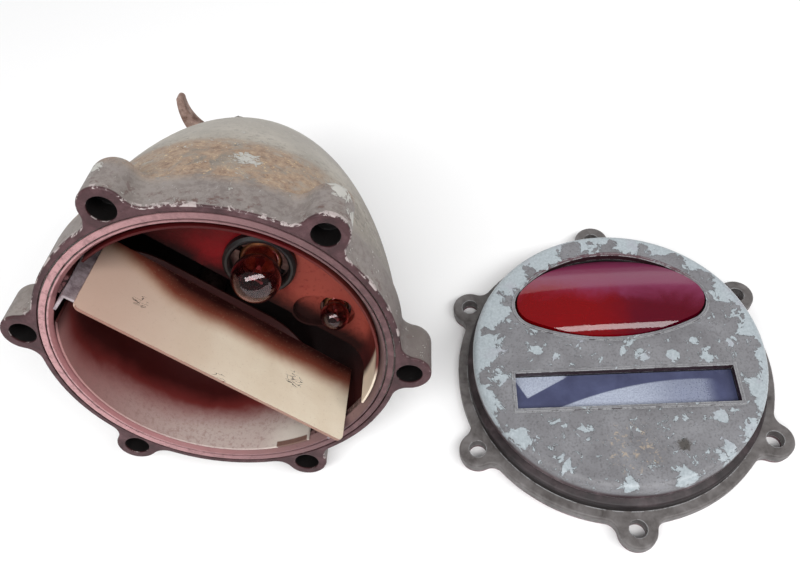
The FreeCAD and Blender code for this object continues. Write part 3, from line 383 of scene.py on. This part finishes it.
def bowl_paint():
    """Worn taupe paint on the casting's outside; dark flange; pinkish rings; painted shade inside."""
    skin = Surface("bowl_paint", BOWL, Roughness=0.6)
    r = skin.radius()
    side, up = over_bowl(skin)
    cloud = skin.noise(22, 6, 0.62, 0.5)
    fine = skin.noise(2.0, 6, 0.68, seed=3)
    paint = bowl_outside(skin, cloud, fine, side, up)
    rust = skin.times(skin.rise(skin.noise(4, 6, 0.7, 0.4, seed=23), 0.54, 0.62),
                      skin.rise(skin.z, -14, -3))
    paint = skin.mix(skin.times(rust, 0.7), paint, tint(84, 52, 46))
    metal = skin.most(bowl_bare(skin), bowl_worn(skin, up))
    paint = skin.mix(metal, paint, tint(184, 182, 176))
    paint = bowl_flange(skin, paint, fine, r, side, up)
    paint = bowl_inside(skin, paint, r, side)
    # Painted shade, near black, inside the six screw holes.
    painted_hole_shade = skin.times(skin.rise(from_screw_axis(skin), 4.95, 4.7), skin.rise(skin.z, -0.3, -0.9))
    paint = skin.mix(painted_hole_shade, paint, tint(14, 9, 9))
    skin.set(Base_Color=paint, Roughness=skin.blend(cloud, 0.42, 0.72))
    skin.relief((cloud, 0.5), (fine, 0.16), (metal, -0.1), rounding=0.5)
    skin.on("housing_shell")


def plain_metal(name, place, colour, darker, roughness, *targets, metallic=0.9, grain=3.0):
    """A metal, rubber or fibre, clouded with dirt between its darker tone and its own colour."""
    skin = Surface(name, place, Metallic=metallic)
    cloud = skin.noise(grain, 5, 0.65, seed=len(name))
    skin.set(Base_Color=skin.ramp(cloud, (0.35, darker), (0.65, colour)),
             Roughness=skin.blend(cloud, roughness + 0.15, roughness - 0.1))
    skin.relief((cloud, 0.08), rounding=0.2)
    skin.on(*targets)


SHELF_SCUFFS = (
    # place, and the radii within which a scuff is full and past which it is gone
    ((31.1, -2.4, -7.6), 3.2, 4.2), ((-31.0, -2.4, -8.4), 2.4, 3.4), ((3.0, -2.6, 8.0), 2, 3.2),
)


def shelf_paint():
    """Cream enamel, browned towards its back edge by stain and painted shadow, with a few scuffs and a
    dark front edge.
    """
    skin = Surface("cream_paint", BOWL, Roughness=0.5)
    cloud = skin.noise(16, 5, 0.6, 0.4)
    fine = skin.noise(0.8, 3, 0.6, seed=2)
    cream = skin.ramp(cloud, (0.3, tint(226, 210, 186)), (0.7, tint(238, 226, 204)))
    left = skin.rise(skin.x, 20, -48)
    cream = skin.mix(skin.times(left, 0.9), cream, tint(196, 164, 148))
    # Stain and painted shadow towards the back edge, reaching less far back at the left.
    back = skin.add(skin.z, skin.times(cloud, 5), skin.times(skin.rise(skin.x, -14, -46), 10))
    stain = skin.ramp(skin.rise(back, -8, -26), (0.0, tint(186, 150, 126)),
                      (0.45, tint(120, 62, 48)), (0.9, tint(44, 10, 8)))
    cream = skin.mix(skin.rise(back, -7, -15), cream, stain)
    cream = skin.mix(skin.times(skin.rise(fine, 0.58, 0.7), 0.25), cream, tint(176, 150, 126))
    streak = skin.noise(3.0, 1.5, 0.5, 1.2, at=skin.stretched((0.5, 1, 1.4)), seed=6)
    scuffed = skin.most(*[skin.rise(skin.distance(place), far, near)
                          for place, near, far in SHELF_SCUFFS])
    scuffs = skin.times(scuffed, skin.band(streak, 0.49, 0.51, 0.01))
    cream = skin.mix(scuffs, cream, tint(40, 34, 34))
    edge = skin.times(skin.edges(0.5, 0.05, 0.2), skin.rise(skin.noise(5, 5, 0.6, seed=7), 0.3, 0.5))
    front = skin.rise(skin.facing(BOWL.to_3x3() @ Vector((0, 0, 1))), 0.5, 0.8)
    cream = skin.mix(skin.most(skin.times(edge, 0.6), skin.times(front, 0.85)), cream,
                     tint(126, 78, 66))
    skin.set(Base_Color=cream, Roughness=skin.blend(cloud, 0.4, 0.6))
    skin.relief((cloud, 0.15), (fine, 0.03), rounding=0.2)
    skin.on("shelf_plate")


def lower_reflector_paint():
    """White paint, dirty grey near the mouth, stained brown-red and with painted shadow deep under the
    shelf, and painted light at the right by the mouth.
    """
    skin = Surface("white_paint", BOWL, Roughness=0.6)
    cloud = skin.noise(14, 6, 0.65, 0.4)
    fine = skin.noise(1.4, 5, 0.7, seed=2)
    pale = skin.mix(skin.rise(skin.x, -40, 30), tint(152, 108, 106), tint(186, 170, 164))
    pale = skin.mix(skin.times(skin.rise(fine, 0.46, 0.66), 0.55), pale, tint(140, 108, 104))
    # Brown-red stain and painted shadow, darkest deepest under the shelf.
    depth = skin.add(skin.z, skin.times(cloud, 9), skin.times(skin.rise(skin.x, 10, 50), 5),
                     skin.times(skin.rise(skin.x, -10, -45), -8))
    stain = skin.ramp(skin.rise(depth, -4, -28), (0.0, tint(142, 92, 90)),
                      (0.45, tint(108, 38, 36)), (0.85, tint(64, 8, 6)))
    paint = skin.mix(skin.rise(depth, -1, -15), pale, stain)
    # Painted shadow, dark red-brown, right under the shelf.
    paint = skin.mix(skin.rise(skin.y, -30, -20), paint, tint(60, 20, 18))
    lit = skin.times(skin.rise(skin.x, 38, 46), skin.rise(skin.z, -14, -6))
    paint = skin.mix(skin.times(lit, 0.8), paint, tint(214, 206, 196))
    tab = skin.times(skin.band(skin.x, 43.5, 50.6, 0.3), skin.band(skin.y, -33, -22, 0.5),
                     skin.rise(skin.z, -3.2, -2.6))
    paint = skin.mix(tab, paint, skin.mix(fine, tint(84, 56, 50), tint(132, 104, 94)))
    skin.set(Base_Color=paint, Roughness=skin.blend(cloud, 0.5, 0.75))
    skin.relief((cloud, 0.25), (fine, 0.06), rounding=0.3)
    skin.on("lower_reflector")


def upper_reflector_paint():
    """A reflector stained orange-red, with painted shade, near black, along its lower edge and dark red
    deep in its well, cream by the mouth at the right.
    """
    skin = Surface("red_brown_paint", BOWL, Specular_IOR_Level=0.2)
    cloud = skin.noise(12, 6, 0.65, 0.6)
    fine = skin.noise(1.6, 5, 0.7, seed=2)
    across = skin.add(skin.rise(skin.x, -45, 30), skin.times(skin.math("SUBTRACT", cloud, 0.5), 0.8))
    paint = skin.ramp(across, (0.1, tint(84, 6, 14)), (0.5, tint(124, 18, 26)),
                      (0.85, tint(144, 66, 56)))
    paint = skin.mix(skin.times(skin.rise(fine, 0.52, 0.68), 0.5), paint, tint(92, 20, 22))
    # Painted shade, near black, along the reflector's lower edge; it also makes the surface rougher
    # there.
    painted_shade = skin.rise(skin.add(skin.y, skin.times(cloud, 10), skin.times(skin.x, -0.05)), 25, 15)
    wall = skin.rise(skin.z, -25, -22)
    paint = skin.mix(skin.times(painted_shade, 0.95), paint, tint(14, 4, 6))
    paint = skin.mix(skin.times(wall, 0.75), paint, tint(60, 20, 20))
    cream = skin.times(skin.rise(skin.x, 44, 49), skin.rise(skin.z, -17, -11),
                       skin.rise(skin.y, 30, 22))
    paint = skin.mix(cream, paint, tint(222, 206, 186))
    # Painted shade, dark red, on the surfaces deeper than the reflector's back, in its well.
    painted_well_shade = skin.rise(skin.math("ABSOLUTE", skin.math("ADD", skin.z, 27.8)), 1.0, 1.7)
    paint = skin.mix(skin.times(painted_well_shade, skin.rise(skin.z, -26.4, -27.2)), paint, tint(70, 18, 20))
    skin.set(Base_Color=paint, Roughness=skin.blend(painted_shade, skin.blend(cloud, 0.4, 0.7), 0.9))
    skin.relief((cloud, 0.25), (fine, 0.08), rounding=0.4)
    skin.on("upper_reflector")


DOOR_BARE_PATCHES = (
    # x, y, radius, share: where the paint of the door's face has come away
    (-51, 22, 14, 1.5), (-55, 3, 12, 1.5), (-42, 38, 14, 1.5), (-26, 50, 13, 1.5), (-4, 54, 9, 1.5),
    (12, 53, 9, 1.5), (26, 50, 9, 1.4), (40, 41, 8, 1.4), (50, 26, 10, 1.4), (55, 10, 11, 1.4),
    (57, -6, 7, 1.2), (53, -20, 10, 1.4), (46, -36, 9, 1.1), (34, -46, 8, 1.0), (18, -54, 8, 1.1),
    (-4, -56, 6, 0.8), (-26, -48, 6, 0.9), (-41, -36, 6, 1.2), (-52, -20, 8, 1.0), (35, -29, 5, 0.9),
    (-47, -9, 6, 0.8),
    (-32, 1.2, 3.4, 1.2), (21.6, -3.2, 4.2, 1.2), (34.5, -3, 5, 1.0), (9.2, -2.6, 4.5, 1.0),
    (31.3, 3, 3.2, 1.1), (3, 2.5, 5, 0.7), (-8, -2.5, 4, 0.7), (-25, -1.5, 3, 0.7), (46, 2, 4, 0.6),
    (-14, 3, 4, 0.6), (4, -34, 3, 0.7), (-16, -33, 4, 0.5), (20, -30, 3, 0.6),
)


def door_chips(skin, face, r):
    """Where the face's paint is chipped off: ragged round the patches and the rim, and in flecks."""
    patches = [skin.times(skin.rise(skin.distance((x, y, FACE)), radius, radius * 0.25), share)
               for x, y, radius, share in DOOR_BARE_PATCHES]
    bias = skin.times(skin.most(*patches), 0.18)
    ragged = skin.add(skin.noise(5.0, 8, 0.66, 1.0, seed=6), bias)
    rim = skin.times(skin.rise(r, 54.0, 57.0), 0.2, skin.rise(skin.y, -50, -10))
    kept = skin.rise(skin.distance((-9, 50.5, FACE)), 10, 6)
    kept = skin.most(kept, skin.rise(skin.distance((27, 46, FACE)), 6, 3))
    chips = skin.math("SUBTRACT", skin.add(ragged, rim), skin.times(kept, 0.1))
    chips = skin.times(skin.rise(chips, 0.6, 0.612), face)
    flecks = skin.times(skin.rise(skin.noise(1.9, 5, 0.66, 0.8, seed=12), 0.63, 0.645), face)
    return skin.most(chips, flecks)


def door_below(skin, paint):
    """Below the face: a dark wall with painted shade at its foot, and worn grey paint on the ears."""
    wall = skin.ramp(skin.noise(8, 6, 0.66, 0.4, seed=4), (0.32, tint(34, 20, 24)),
                     (0.5, tint(72, 56, 60)), (0.7, tint(112, 98, 102)))
    # Painted shade, near black, at the foot of the wall where it meets the ears.
    painted_foot_shade = skin.rise(skin.add(skin.z, skin.times(skin.noise(6, 5, 0.6, seed=33), 5)), 11, 6)
    wall = skin.mix(skin.times(painted_foot_shade, 0.95), wall, tint(18, 10, 13))
    paint = skin.mix(skin.rise(skin.z, 12.5, 9.5), paint, wall)
    ears = skin.ramp(skin.noise(6, 6, 0.66, 0.4, seed=27), (0.32, tint(70, 65, 64)),
                     (0.5, tint(98, 94, 93)), (0.7, tint(120, 116, 116)))
    return skin.mix(skin.rise(skin.z, 0.6, 0.1), paint, ears)


def door_marks(skin, paint, face):
    """Pale rubbed edges, a dark stain low on the face and a brownish rub beside it."""
    worn = skin.times(skin.edges(0.9, 0.03, 0.16),
                      skin.rise(skin.noise(4, 6, 0.7, 0.5, seed=9), 0.44, 0.5))
    paint = skin.mix(skin.times(worn, 0.75), paint, tint(176, 178, 180))
    ragged_spot = skin.times(skin.noise(1.5, 6, 0.75, 0.6, seed=25), 7)
    stain = skin.rise(skin.add(skin.distance((18.5, -40.4, FACE)), ragged_spot), 6.6, 5.4)
    paint = skin.mix(skin.times(stain, 0.8, face), paint, tint(58, 52, 44))
    rub = skin.times(skin.rise(skin.distance((0, -41, FACE)), 13, 8), face,
                     skin.rise(skin.noise(2.2, 5, 0.75, 0.8, seed=18), 0.56, 0.6))
    return skin.mix(skin.times(rub, 0.6), paint, tint(176, 158, 136))


def door_paint():
    """Grey paint, chipped to pale metal at the rim, round the lens and in scattered flecks."""
    skin = Surface("door_paint", DOOR, Roughness=0.5)
    r = skin.radius()
    cloud = skin.noise(14, 5, 0.6, 0.3)
    fine = skin.noise(0.9, 4, 0.7, seed=2)
    face = skin.rise(skin.z, 9.5, 12.5)
    chips = door_chips(skin, face, r)
    paint = skin.ramp(cloud, (0.3, tint(108, 107, 110)), (0.7, tint(133, 133, 137)))
    paint = skin.mix(skin.times(skin.rise(fine, 0.48, 0.66), 0.55), paint, tint(84, 82, 84))
    paint = door_below(skin, paint)
    red_rim = skin.times(skin.band(skin.radius(0, EYE_TOP.y), 48.3, 50.3, 0.3), skin.rise(skin.y, 30, 36),
                         skin.rise(skin.noise(5, 5, 0.6, seed=15), 0.4, 0.5), face)
    paint = skin.mix(skin.times(red_rim, 0.85), paint, tint(84, 50, 58))
    bare = skin.ramp(fine, (0.3, tint(146, 155, 160)), (0.7, tint(178, 187, 192)))
    bare = skin.mix(skin.rise(cloud, 0.5, 0.75), bare, tint(160, 158, 168))
    paint = skin.mix(chips, paint, bare)
    # Painted shade, dark maroon, on the walls of the openings below the face.
    painted_opening_shade = skin.times(skin.rise(skin.facing((0, 0, 1)), 0.7, 0.3), skin.rise(r, 52.5, 51.5),
                        skin.rise(skin.z, 12.4, 12.8))
    paint = skin.mix(painted_opening_shade, paint, tint(46, 24, 30))
    paint = door_marks(skin, paint, face)
    skin.set(Base_Color=paint, Roughness=skin.blend(chips, skin.blend(cloud, 0.42, 0.62), 0.38))
    skin.relief((cloud, 0.25), (fine, 0.06), (chips, -0.22), rounding=0.35)
    skin.on("door_casting")


def bulb_glass(*targets):
    """Pinkish glass with faint colour clouds and slightly uneven faces."""
    skin = Surface("bulb_glass", BOWL, IOR=GLASS_IOR, Transmission_Weight=1.0)
    cloud = skin.noise(12, 4, 0.6, 0.4)
    smears = skin.noise(5, 6, 0.7, seed=3)
    clear = tint(214, 150, 154)
    cloudy = tuple(c * 0.8 for c in clear[:3]) + (1,)
    skin.set(Base_Color=skin.mix(skin.rise(cloud, 0.35, 0.65), clear, cloudy),
             Roughness=skin.blend(skin.rise(smears, 0.4, 0.7), 0.03, 0.09))
    skin.relief((skin.noise(9, 3, seed=4), 0.06))
    skin.on(*targets)


def slot_glass():
    """Blue-grey glass whose inside has a pale speckled film in two slanting zones."""
    skin = Surface("slot_glass", DOOR, IOR=GLASS_IOR)
    speckle = skin.noise(0.55, 3, 0.7)
    cloud = skin.noise(9, 4, 0.6, 0.3, seed=2)
    from_top = skin.math("SUBTRACT", skin.x, 28)
    curve = skin.math("SUBTRACT", -12.3, skin.times(from_top, from_top, 0.0037))
    under = skin.rise(skin.math("SUBTRACT", skin.y, curve), 0.5, -0.3)
    sweep = skin.times(under, skin.rise(skin.x, 37, 30), skin.rise(skin.x, -31, -28))
    sweep = skin.times(sweep, skin.blend(skin.rise(skin.x, 2, 26), 0.95, 0.55))
    line = skin.add(-18, skin.times(skin.add(skin.x, 37), 0.53))
    wedge = skin.times(skin.rise(skin.math("SUBTRACT", skin.y, line), -0.3, 0.4),
                       skin.rise(skin.x, -20, -23),
                       skin.rise(skin.add(skin.x, skin.times(skin.y, 0.55)), -47.5, -46.6))
    film = skin.most(sweep, wedge)
    grain = skin.rise(speckle, 0.3, 0.62)
    share = skin.times(film, skin.blend(grain, 0.45, 1.0))
    blue = skin.ramp(cloud, (0.35, tint(82, 86, 118)), (0.7, tint(100, 106, 142)))
    skin.set(Base_Color=skin.mix(share, blue, tint(180, 188, 204)),
             Roughness=skin.blend(share, 0.12, 0.6),
             Transmission_Weight=skin.blend(share, 0.35, 0.0))
    skin.relief((speckle, 0.02), (cloud, 0.05))
    skin.on("slot_lens")


def red_glass():
    """Deep red glass, clear and bright low down, with a painted pink-grey sky reflection towards its top.
    """
    skin = Surface("red_glass", DOOR, IOR=GLASS_IOR)
    cloud = skin.noise(14, 4, 0.6, 0.8)
    smears = skin.noise(2.5, 5, 0.7, 0.3, at=skin.stretched((0.25, 1, 1)), seed=5)
    height = skin.add(skin.y, skin.times(skin.math("SUBTRACT", cloud, 0.5), 16),
                      skin.times(skin.x, 0.12))
    # Painted sky reflection: pink-grey towards the top, rougher and less clear there.
    painted_reflection = skin.times(skin.rise(height, 19, 31), skin.blend(smears, 0.8, 1.0))
    red = skin.mix(skin.rise(skin.add(skin.x, skin.times(cloud, 20)), 0, 24), tint(160, 0, 20),
                   tint(118, 6, 40))
    skin.set(Base_Color=skin.mix(painted_reflection, red, tint(130, 58, 90)),
             Roughness=skin.blend(painted_reflection, 0.06, 0.2), Transmission_Weight=skin.blend(painted_reflection, 0.55, 0.15))
    skin.relief((cloud, 0.06), (smears, 0.01))
    return skin.material


def materials():
    bowl_paint()
    door_paint()
    shelf_paint()
    lower_reflector_paint()
    upper_reflector_paint()
    slot_glass()
    plain_metal("rusty_steel", BOWL, tint(166, 142, 132), tint(100, 74, 64), 0.7,
                "mounting_bracket", metallic=0.2)
    plain_metal("plated_steel", BOWL, tint(150, 146, 140), tint(96, 88, 82), 0.45,
                "mounting_studs", "lock_washers", "mounting_nuts", "bracket_rivets")
    plain_metal("plated_steel_door", DOOR, tint(160, 156, 152), tint(104, 98, 92), 0.45,
                "red_lens_screws", "slot_lens_screws", "red_lens_retainer", "slot_lens_retainer")
    plain_metal("bare_sheet", BOWL, tint(176, 164, 168), tint(116, 100, 106), 0.45,
                "shelf_brackets", metallic=0.3)
    plain_metal("black_rubber", BOWL, tint(30, 24, 26), tint(13, 10, 11), 0.45,
                "cable_grommet", "stop_lamp_ring", "socket_leads", "stop_socket_boot",
                "tail_socket_boot", "blackout_socket_boot", metallic=0.0)
    plain_metal("black_rubber_door", DOOR, tint(30, 26, 28), tint(15, 12, 14), 0.5,
                "red_lens_gasket", "slot_lens_gasket", metallic=0.0)
    plain_metal("gasket_rubber", DOOR, tint(132, 108, 112), tint(80, 60, 64), 0.7,
                "door_gasket", metallic=0.0)
    lamps = ("stop", "tail", "blackout")
    plain_metal("brass", BOWL, tint(150, 104, 70), tint(84, 44, 34), 0.4,
                *[f"{lamp}_bulb_base" for lamp in lamps],
                *[f"{lamp}_socket_contact" for lamp in lamps])
    plain_metal("socket_steel", BOWL, tint(120, 98, 94), tint(66, 40, 38), 0.45,
                *[f"{lamp}_socket_shell" for lamp in lamps],
                *[f"{lamp}_contact_spring" for lamp in lamps])
    plain_metal("filament_wire", BOWL, tint(216, 180, 176), tint(150, 110, 108), 0.35,
                *[f"{lamp}_bulb_filament" for lamp in lamps])
    plain_metal("insulator", BOWL, tint(96, 60, 40), tint(60, 36, 24), 0.6,
                *[f"{lamp}_socket_insulator" for lamp in lamps], metallic=0.0)
    bulb_glass(*[f"{lamp}_bulb_glass" for lamp in lamps])


# ---- red lens -----------------------------------------------------------------------------------

# The outline: an arc above, an arc below and two round tips. These repeat the CAD's own sizes.
EYE_TOP, EYE_TOP_R = Vector((0, -2.2)), 47.8
EYE_LOW, EYE_LOW_R = Vector((0, 83.3)), 76.8
EYE_TIP_R = 9.8
EYE_MIDDLE = Vector((0, 25))
EYE_REACH = 60.0
# Heights above the ears, and then the flange's width and the glass's thickness.
LENS_BACK, LENS_FLANGE_TOP = 8.6, 11.6
LENS_FLANGE, LENS_THICK = 2.2, 3.0
# The dome: how far its crown stands over the face, and how it drops away below, above and at the ends.
CROWN = 4.3
SHOULDER_Y, SHOULDER_DROP, SHOULDER_LONG = 6.5, 5.6, 4.8
TOP_HALF, TOP_DROP = 20, 7.2
END_HALF, END_DROP, END_POWER = 40, 2.6, 3.4
# The mesh: points round each loop, loops from the middle to the rim, and how they crowd to the rim.
LENS_AROUND, LENS_LOOPS, LENS_CROWDING = 168, 30, 0.8
RIM_INSET, RIM_ROUND, RIM_ROUND_TALL = 0.25, 0.05, 0.4
SHARP_EDGE = math.radians(35)


def eye_depth(spot):
    """How far a place is inside the eye shape that the lens fills; negative outside."""
    top_core, low_core = EYE_TOP_R - EYE_TIP_R, EYE_LOW_R - EYE_TIP_R
    past_top, past_low = (spot - EYE_TOP).length - top_core, (spot - EYE_LOW).length - low_core
    if max(past_top, past_low) <= 0:
        return EYE_TIP_R - max(past_top, past_low)
    on_top = EYE_TOP + (spot - EYE_TOP).normalized() * top_core
    on_low = EYE_LOW + (spot - EYE_LOW).normalized() * low_core
    if past_top > 0 and (on_top - EYE_LOW).length <= low_core:
        return EYE_TIP_R - past_top
    if past_low > 0 and (on_low - EYE_TOP).length <= top_core:
        return EYE_TIP_R - past_low
    apart = (EYE_LOW - EYE_TOP).length
    up = (apart**2 + top_core**2 - low_core**2) / (2 * apart)
    corner = Vector((math.sqrt(top_core**2 - up**2), EYE_TOP.y + up))
    return EYE_TIP_R - (Vector((abs(spot.x), spot.y)) - corner).length


def eye_spot(angle, depth):
    """The place at this angle from the eye's middle and this far inside its outline."""
    near, far = 0.0, EYE_REACH
    way = Vector((math.cos(angle), math.sin(angle)))
    for _ in range(40):
        half = (near + far) / 2
        if eye_depth(EYE_MIDDLE + way * half) > depth:
            near = half
        else:
            far = half
    return EYE_MIDDLE + way * near


def lens_height(spot):
    """The red glass's front above the ears: a soft dome with a fuller shoulder at its lower edge."""
    shoulder = SHOULDER_DROP * math.exp(-(spot.y - SHOULDER_Y) / SHOULDER_LONG)
    top = TOP_DROP * max(0.0, (spot.y - EYE_MIDDLE.y) / TOP_HALF) ** 2
    ends = END_DROP * (abs(spot.x) / END_HALF) ** END_POWER
    return FACE + CROWN - shoulder - top - ends


def red_lens():
    """The glass as one closed shell: domed front, wall down through the opening, hidden flange."""
    shares = [math.sin(math.pi / 2 * k / LENS_LOOPS) ** LENS_CROWDING
              for k in range(1, LENS_LOOPS + 1)]
    mesh = bmesh.new()

    def ring(place):
        return [mesh.verts.new(place(2 * math.pi * i / LENS_AROUND)) for i in range(LENS_AROUND)]

    def dome(share, sunk):
        """A loop of the front, or of the back, which is sunk by the glass's thickness."""
        def place(angle):
            edge = eye_spot(angle, RIM_INSET + sunk)
            spot = EYE_MIDDLE + (edge - EYE_MIDDLE) * share
            lowest = LENS_BACK + RIM_ROUND_TALL if sunk else 0
            return Vector((spot.x, spot.y, max(lens_height(spot) - sunk, lowest)))
        return place

    def level(depth, z):
        return lambda angle: eye_spot(angle, depth).to_3d() + Vector((0, 0, z))

    front = [ring(dome(share, 0)) for share in shares]
    wall = [ring(level(RIM_ROUND, LENS_FLANGE_TOP + RIM_ROUND_TALL)),
            ring(level(0.0, LENS_FLANGE_TOP)), ring(level(-LENS_FLANGE, LENS_FLANGE_TOP)),
            ring(level(-LENS_FLANGE, LENS_BACK)), ring(level(LENS_THICK, LENS_BACK))]
    back = [ring(dome(share, LENS_THICK)) for share in reversed(shares)]
    loops = front + wall + back
    for one, two in zip(loops, loops[1:]):
        for i in range(LENS_AROUND):
            j = (i + 1) % LENS_AROUND
            mesh.faces.new((one[i], one[j], two[j], two[i]))
    for loop in (loops[0], loops[-1]):
        middle = mesh.verts.new(sum((v.co for v in loop), Vector()) / LENS_AROUND)
        for i in range(LENS_AROUND):
            mesh.faces.new((loop[i], loop[(i + 1) % LENS_AROUND], middle))
    bmesh.ops.recalc_face_normals(mesh, faces=mesh.faces)
    for face in mesh.faces:
        face.smooth = True
    for edge in mesh.edges:
        if edge.is_manifold and edge.calc_face_angle() > SHARP_EDGE:
            edge.smooth = False
    mesh.transform(DOOR @ Matrix.Scale(MM, 4))
    data = bpy.data.meshes.new("red_lens_glass")
    mesh.to_mesh(data)
    mesh.free()
    piece = bpy.data.objects.new("red_lens_glass", data)
    bpy.context.scene.collection.objects.link(piece)
    data.materials.append(red_glass())
    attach(piece, "door")
    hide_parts("red_lens")


# ---- contact springs ----------------------------------------------------------------------------


def springs():
    """Gives each spring that a joint deforms a mesh of its own."""
    for joint in frame["record"]["behaviour"]["joints"]:
        for deforming in joint.get("deforming_nodes", ()):
            spring, axis = nodes[deforming["node"]], Vector(joint["axis"])
            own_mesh(spring)


# ---- floor, lights and camera -------------------------------------------------------------------

# Fitted to the photograph's twelve screw holes; the lens is in millimetres on a 36 mm sensor.
CAMERA_FROM_DOOR = Vector((-61.1, -153.2, 302.2)) * MM
CAMERA_RIGHT = Vector((0.996, 0.002, -0.091))
CAMERA_BACK = Vector((0.077, -0.553, 0.829))
CAMERA_LENS, CAMERA_SENSOR = 35.6, 36.0
CAMERA_CLIP_START = 0.01
FLOOR_HALF = 3.0
FLOOR_GLOW, FLOOR_GLOW_FROM, FLOOR_GLOW_FULL = 0.6, 350, 1300
SKY_ON_OBJECT, SKY_IN_VIEW = 0.24, 0.9


def set_camera():
    camera = bpy.data.objects.new("camera", bpy.data.cameras.new("camera"))
    camera.data.lens = CAMERA_LENS
    camera.data.sensor_width = CAMERA_SENSOR
    camera.data.clip_start = CAMERA_CLIP_START
    back = CAMERA_BACK.normalized()
    up = back.cross(CAMERA_RIGHT).normalized()
    right = up.cross(back)
    turn = Matrix((right, up, back)).transposed().to_4x4()
    camera.matrix_world = Matrix.Translation(DOOR.to_translation() + CAMERA_FROM_DOOR) @ turn
    bpy.context.scene.collection.objects.link(camera)
    bpy.context.scene.camera = camera


def floor():
    mesh = bpy.data.meshes.new("floor")
    corners = [Vector((x * FLOOR_HALF, y * FLOOR_HALF, 0))
               for x, y in ((-1, -1), (1, -1), (1, 1), (-1, 1))]
    mesh.from_pydata(corners, [], [(0, 1, 2, 3)])
    plane = bpy.data.objects.new("floor", mesh)
    bpy.context.scene.collection.objects.link(plane)
    ground = Surface("floor", Matrix.Identity(4), Roughness=0.9)
    ground.set(Base_Color=ground.mix(ground.noise(300, 2), tint(251, 251, 252), tint(253, 253, 253)))
    # The lights only reach the middle of the floor; further out it glows faintly, to stay plain.
    far = ground.rise(ground.radius(), FLOOR_GLOW_FROM, FLOOR_GLOW_FULL)
    ground.set(Emission_Color=(1, 1, 1, 1), Emission_Strength=ground.times(far, FLOOR_GLOW))
    mesh.materials.append(ground.material)


def soft_box(name, spot, target, size, power):
    data = bpy.data.lights.new(name, "AREA")
    data.shape = "RECTANGLE"
    data.size, data.size_y = size
    data.energy = power
    lamp = bpy.data.objects.new(name, data)
    lamp.location = spot
    lamp.rotation_mode = "QUATERNION"
    lamp.rotation_quaternion = (Vector(target) - Vector(spot)).to_track_quat("-Z", "Y")
    bpy.context.scene.collection.objects.link(lamp)


def light():
    world = bpy.data.worlds.new("studio")
    world.use_nodes = True
    tree = world.node_tree
    sky = tree.nodes["Background"]
    sky.inputs["Color"].default_value = (1, 1, 1, 1)
    seen = tree.nodes.new("ShaderNodeLightPath").outputs["Is Camera Ray"]
    strength = tree.nodes.new("ShaderNodeMapRange")
    tree.links.new(seen, strength.inputs["Value"])
    strength.inputs["To Min"].default_value = SKY_ON_OBJECT
    strength.inputs["To Max"].default_value = SKY_IN_VIEW
    tree.links.new(strength.outputs["Result"], sky.inputs["Strength"])
    bpy.context.scene.world = world
    soft_box("key", (0.12, -0.55, 0.95), (0.0, 0, 0.03), (2.1, 0.36), 18)
    soft_box("back", (-0.35, 1.3, 0.85), (-0.05, 0, 0.08), (3.0, 1.0), 10)
    bpy.context.scene.view_settings.view_transform = "Standard"


materials()
red_lens()
springs()
set_camera()
floor()
light()
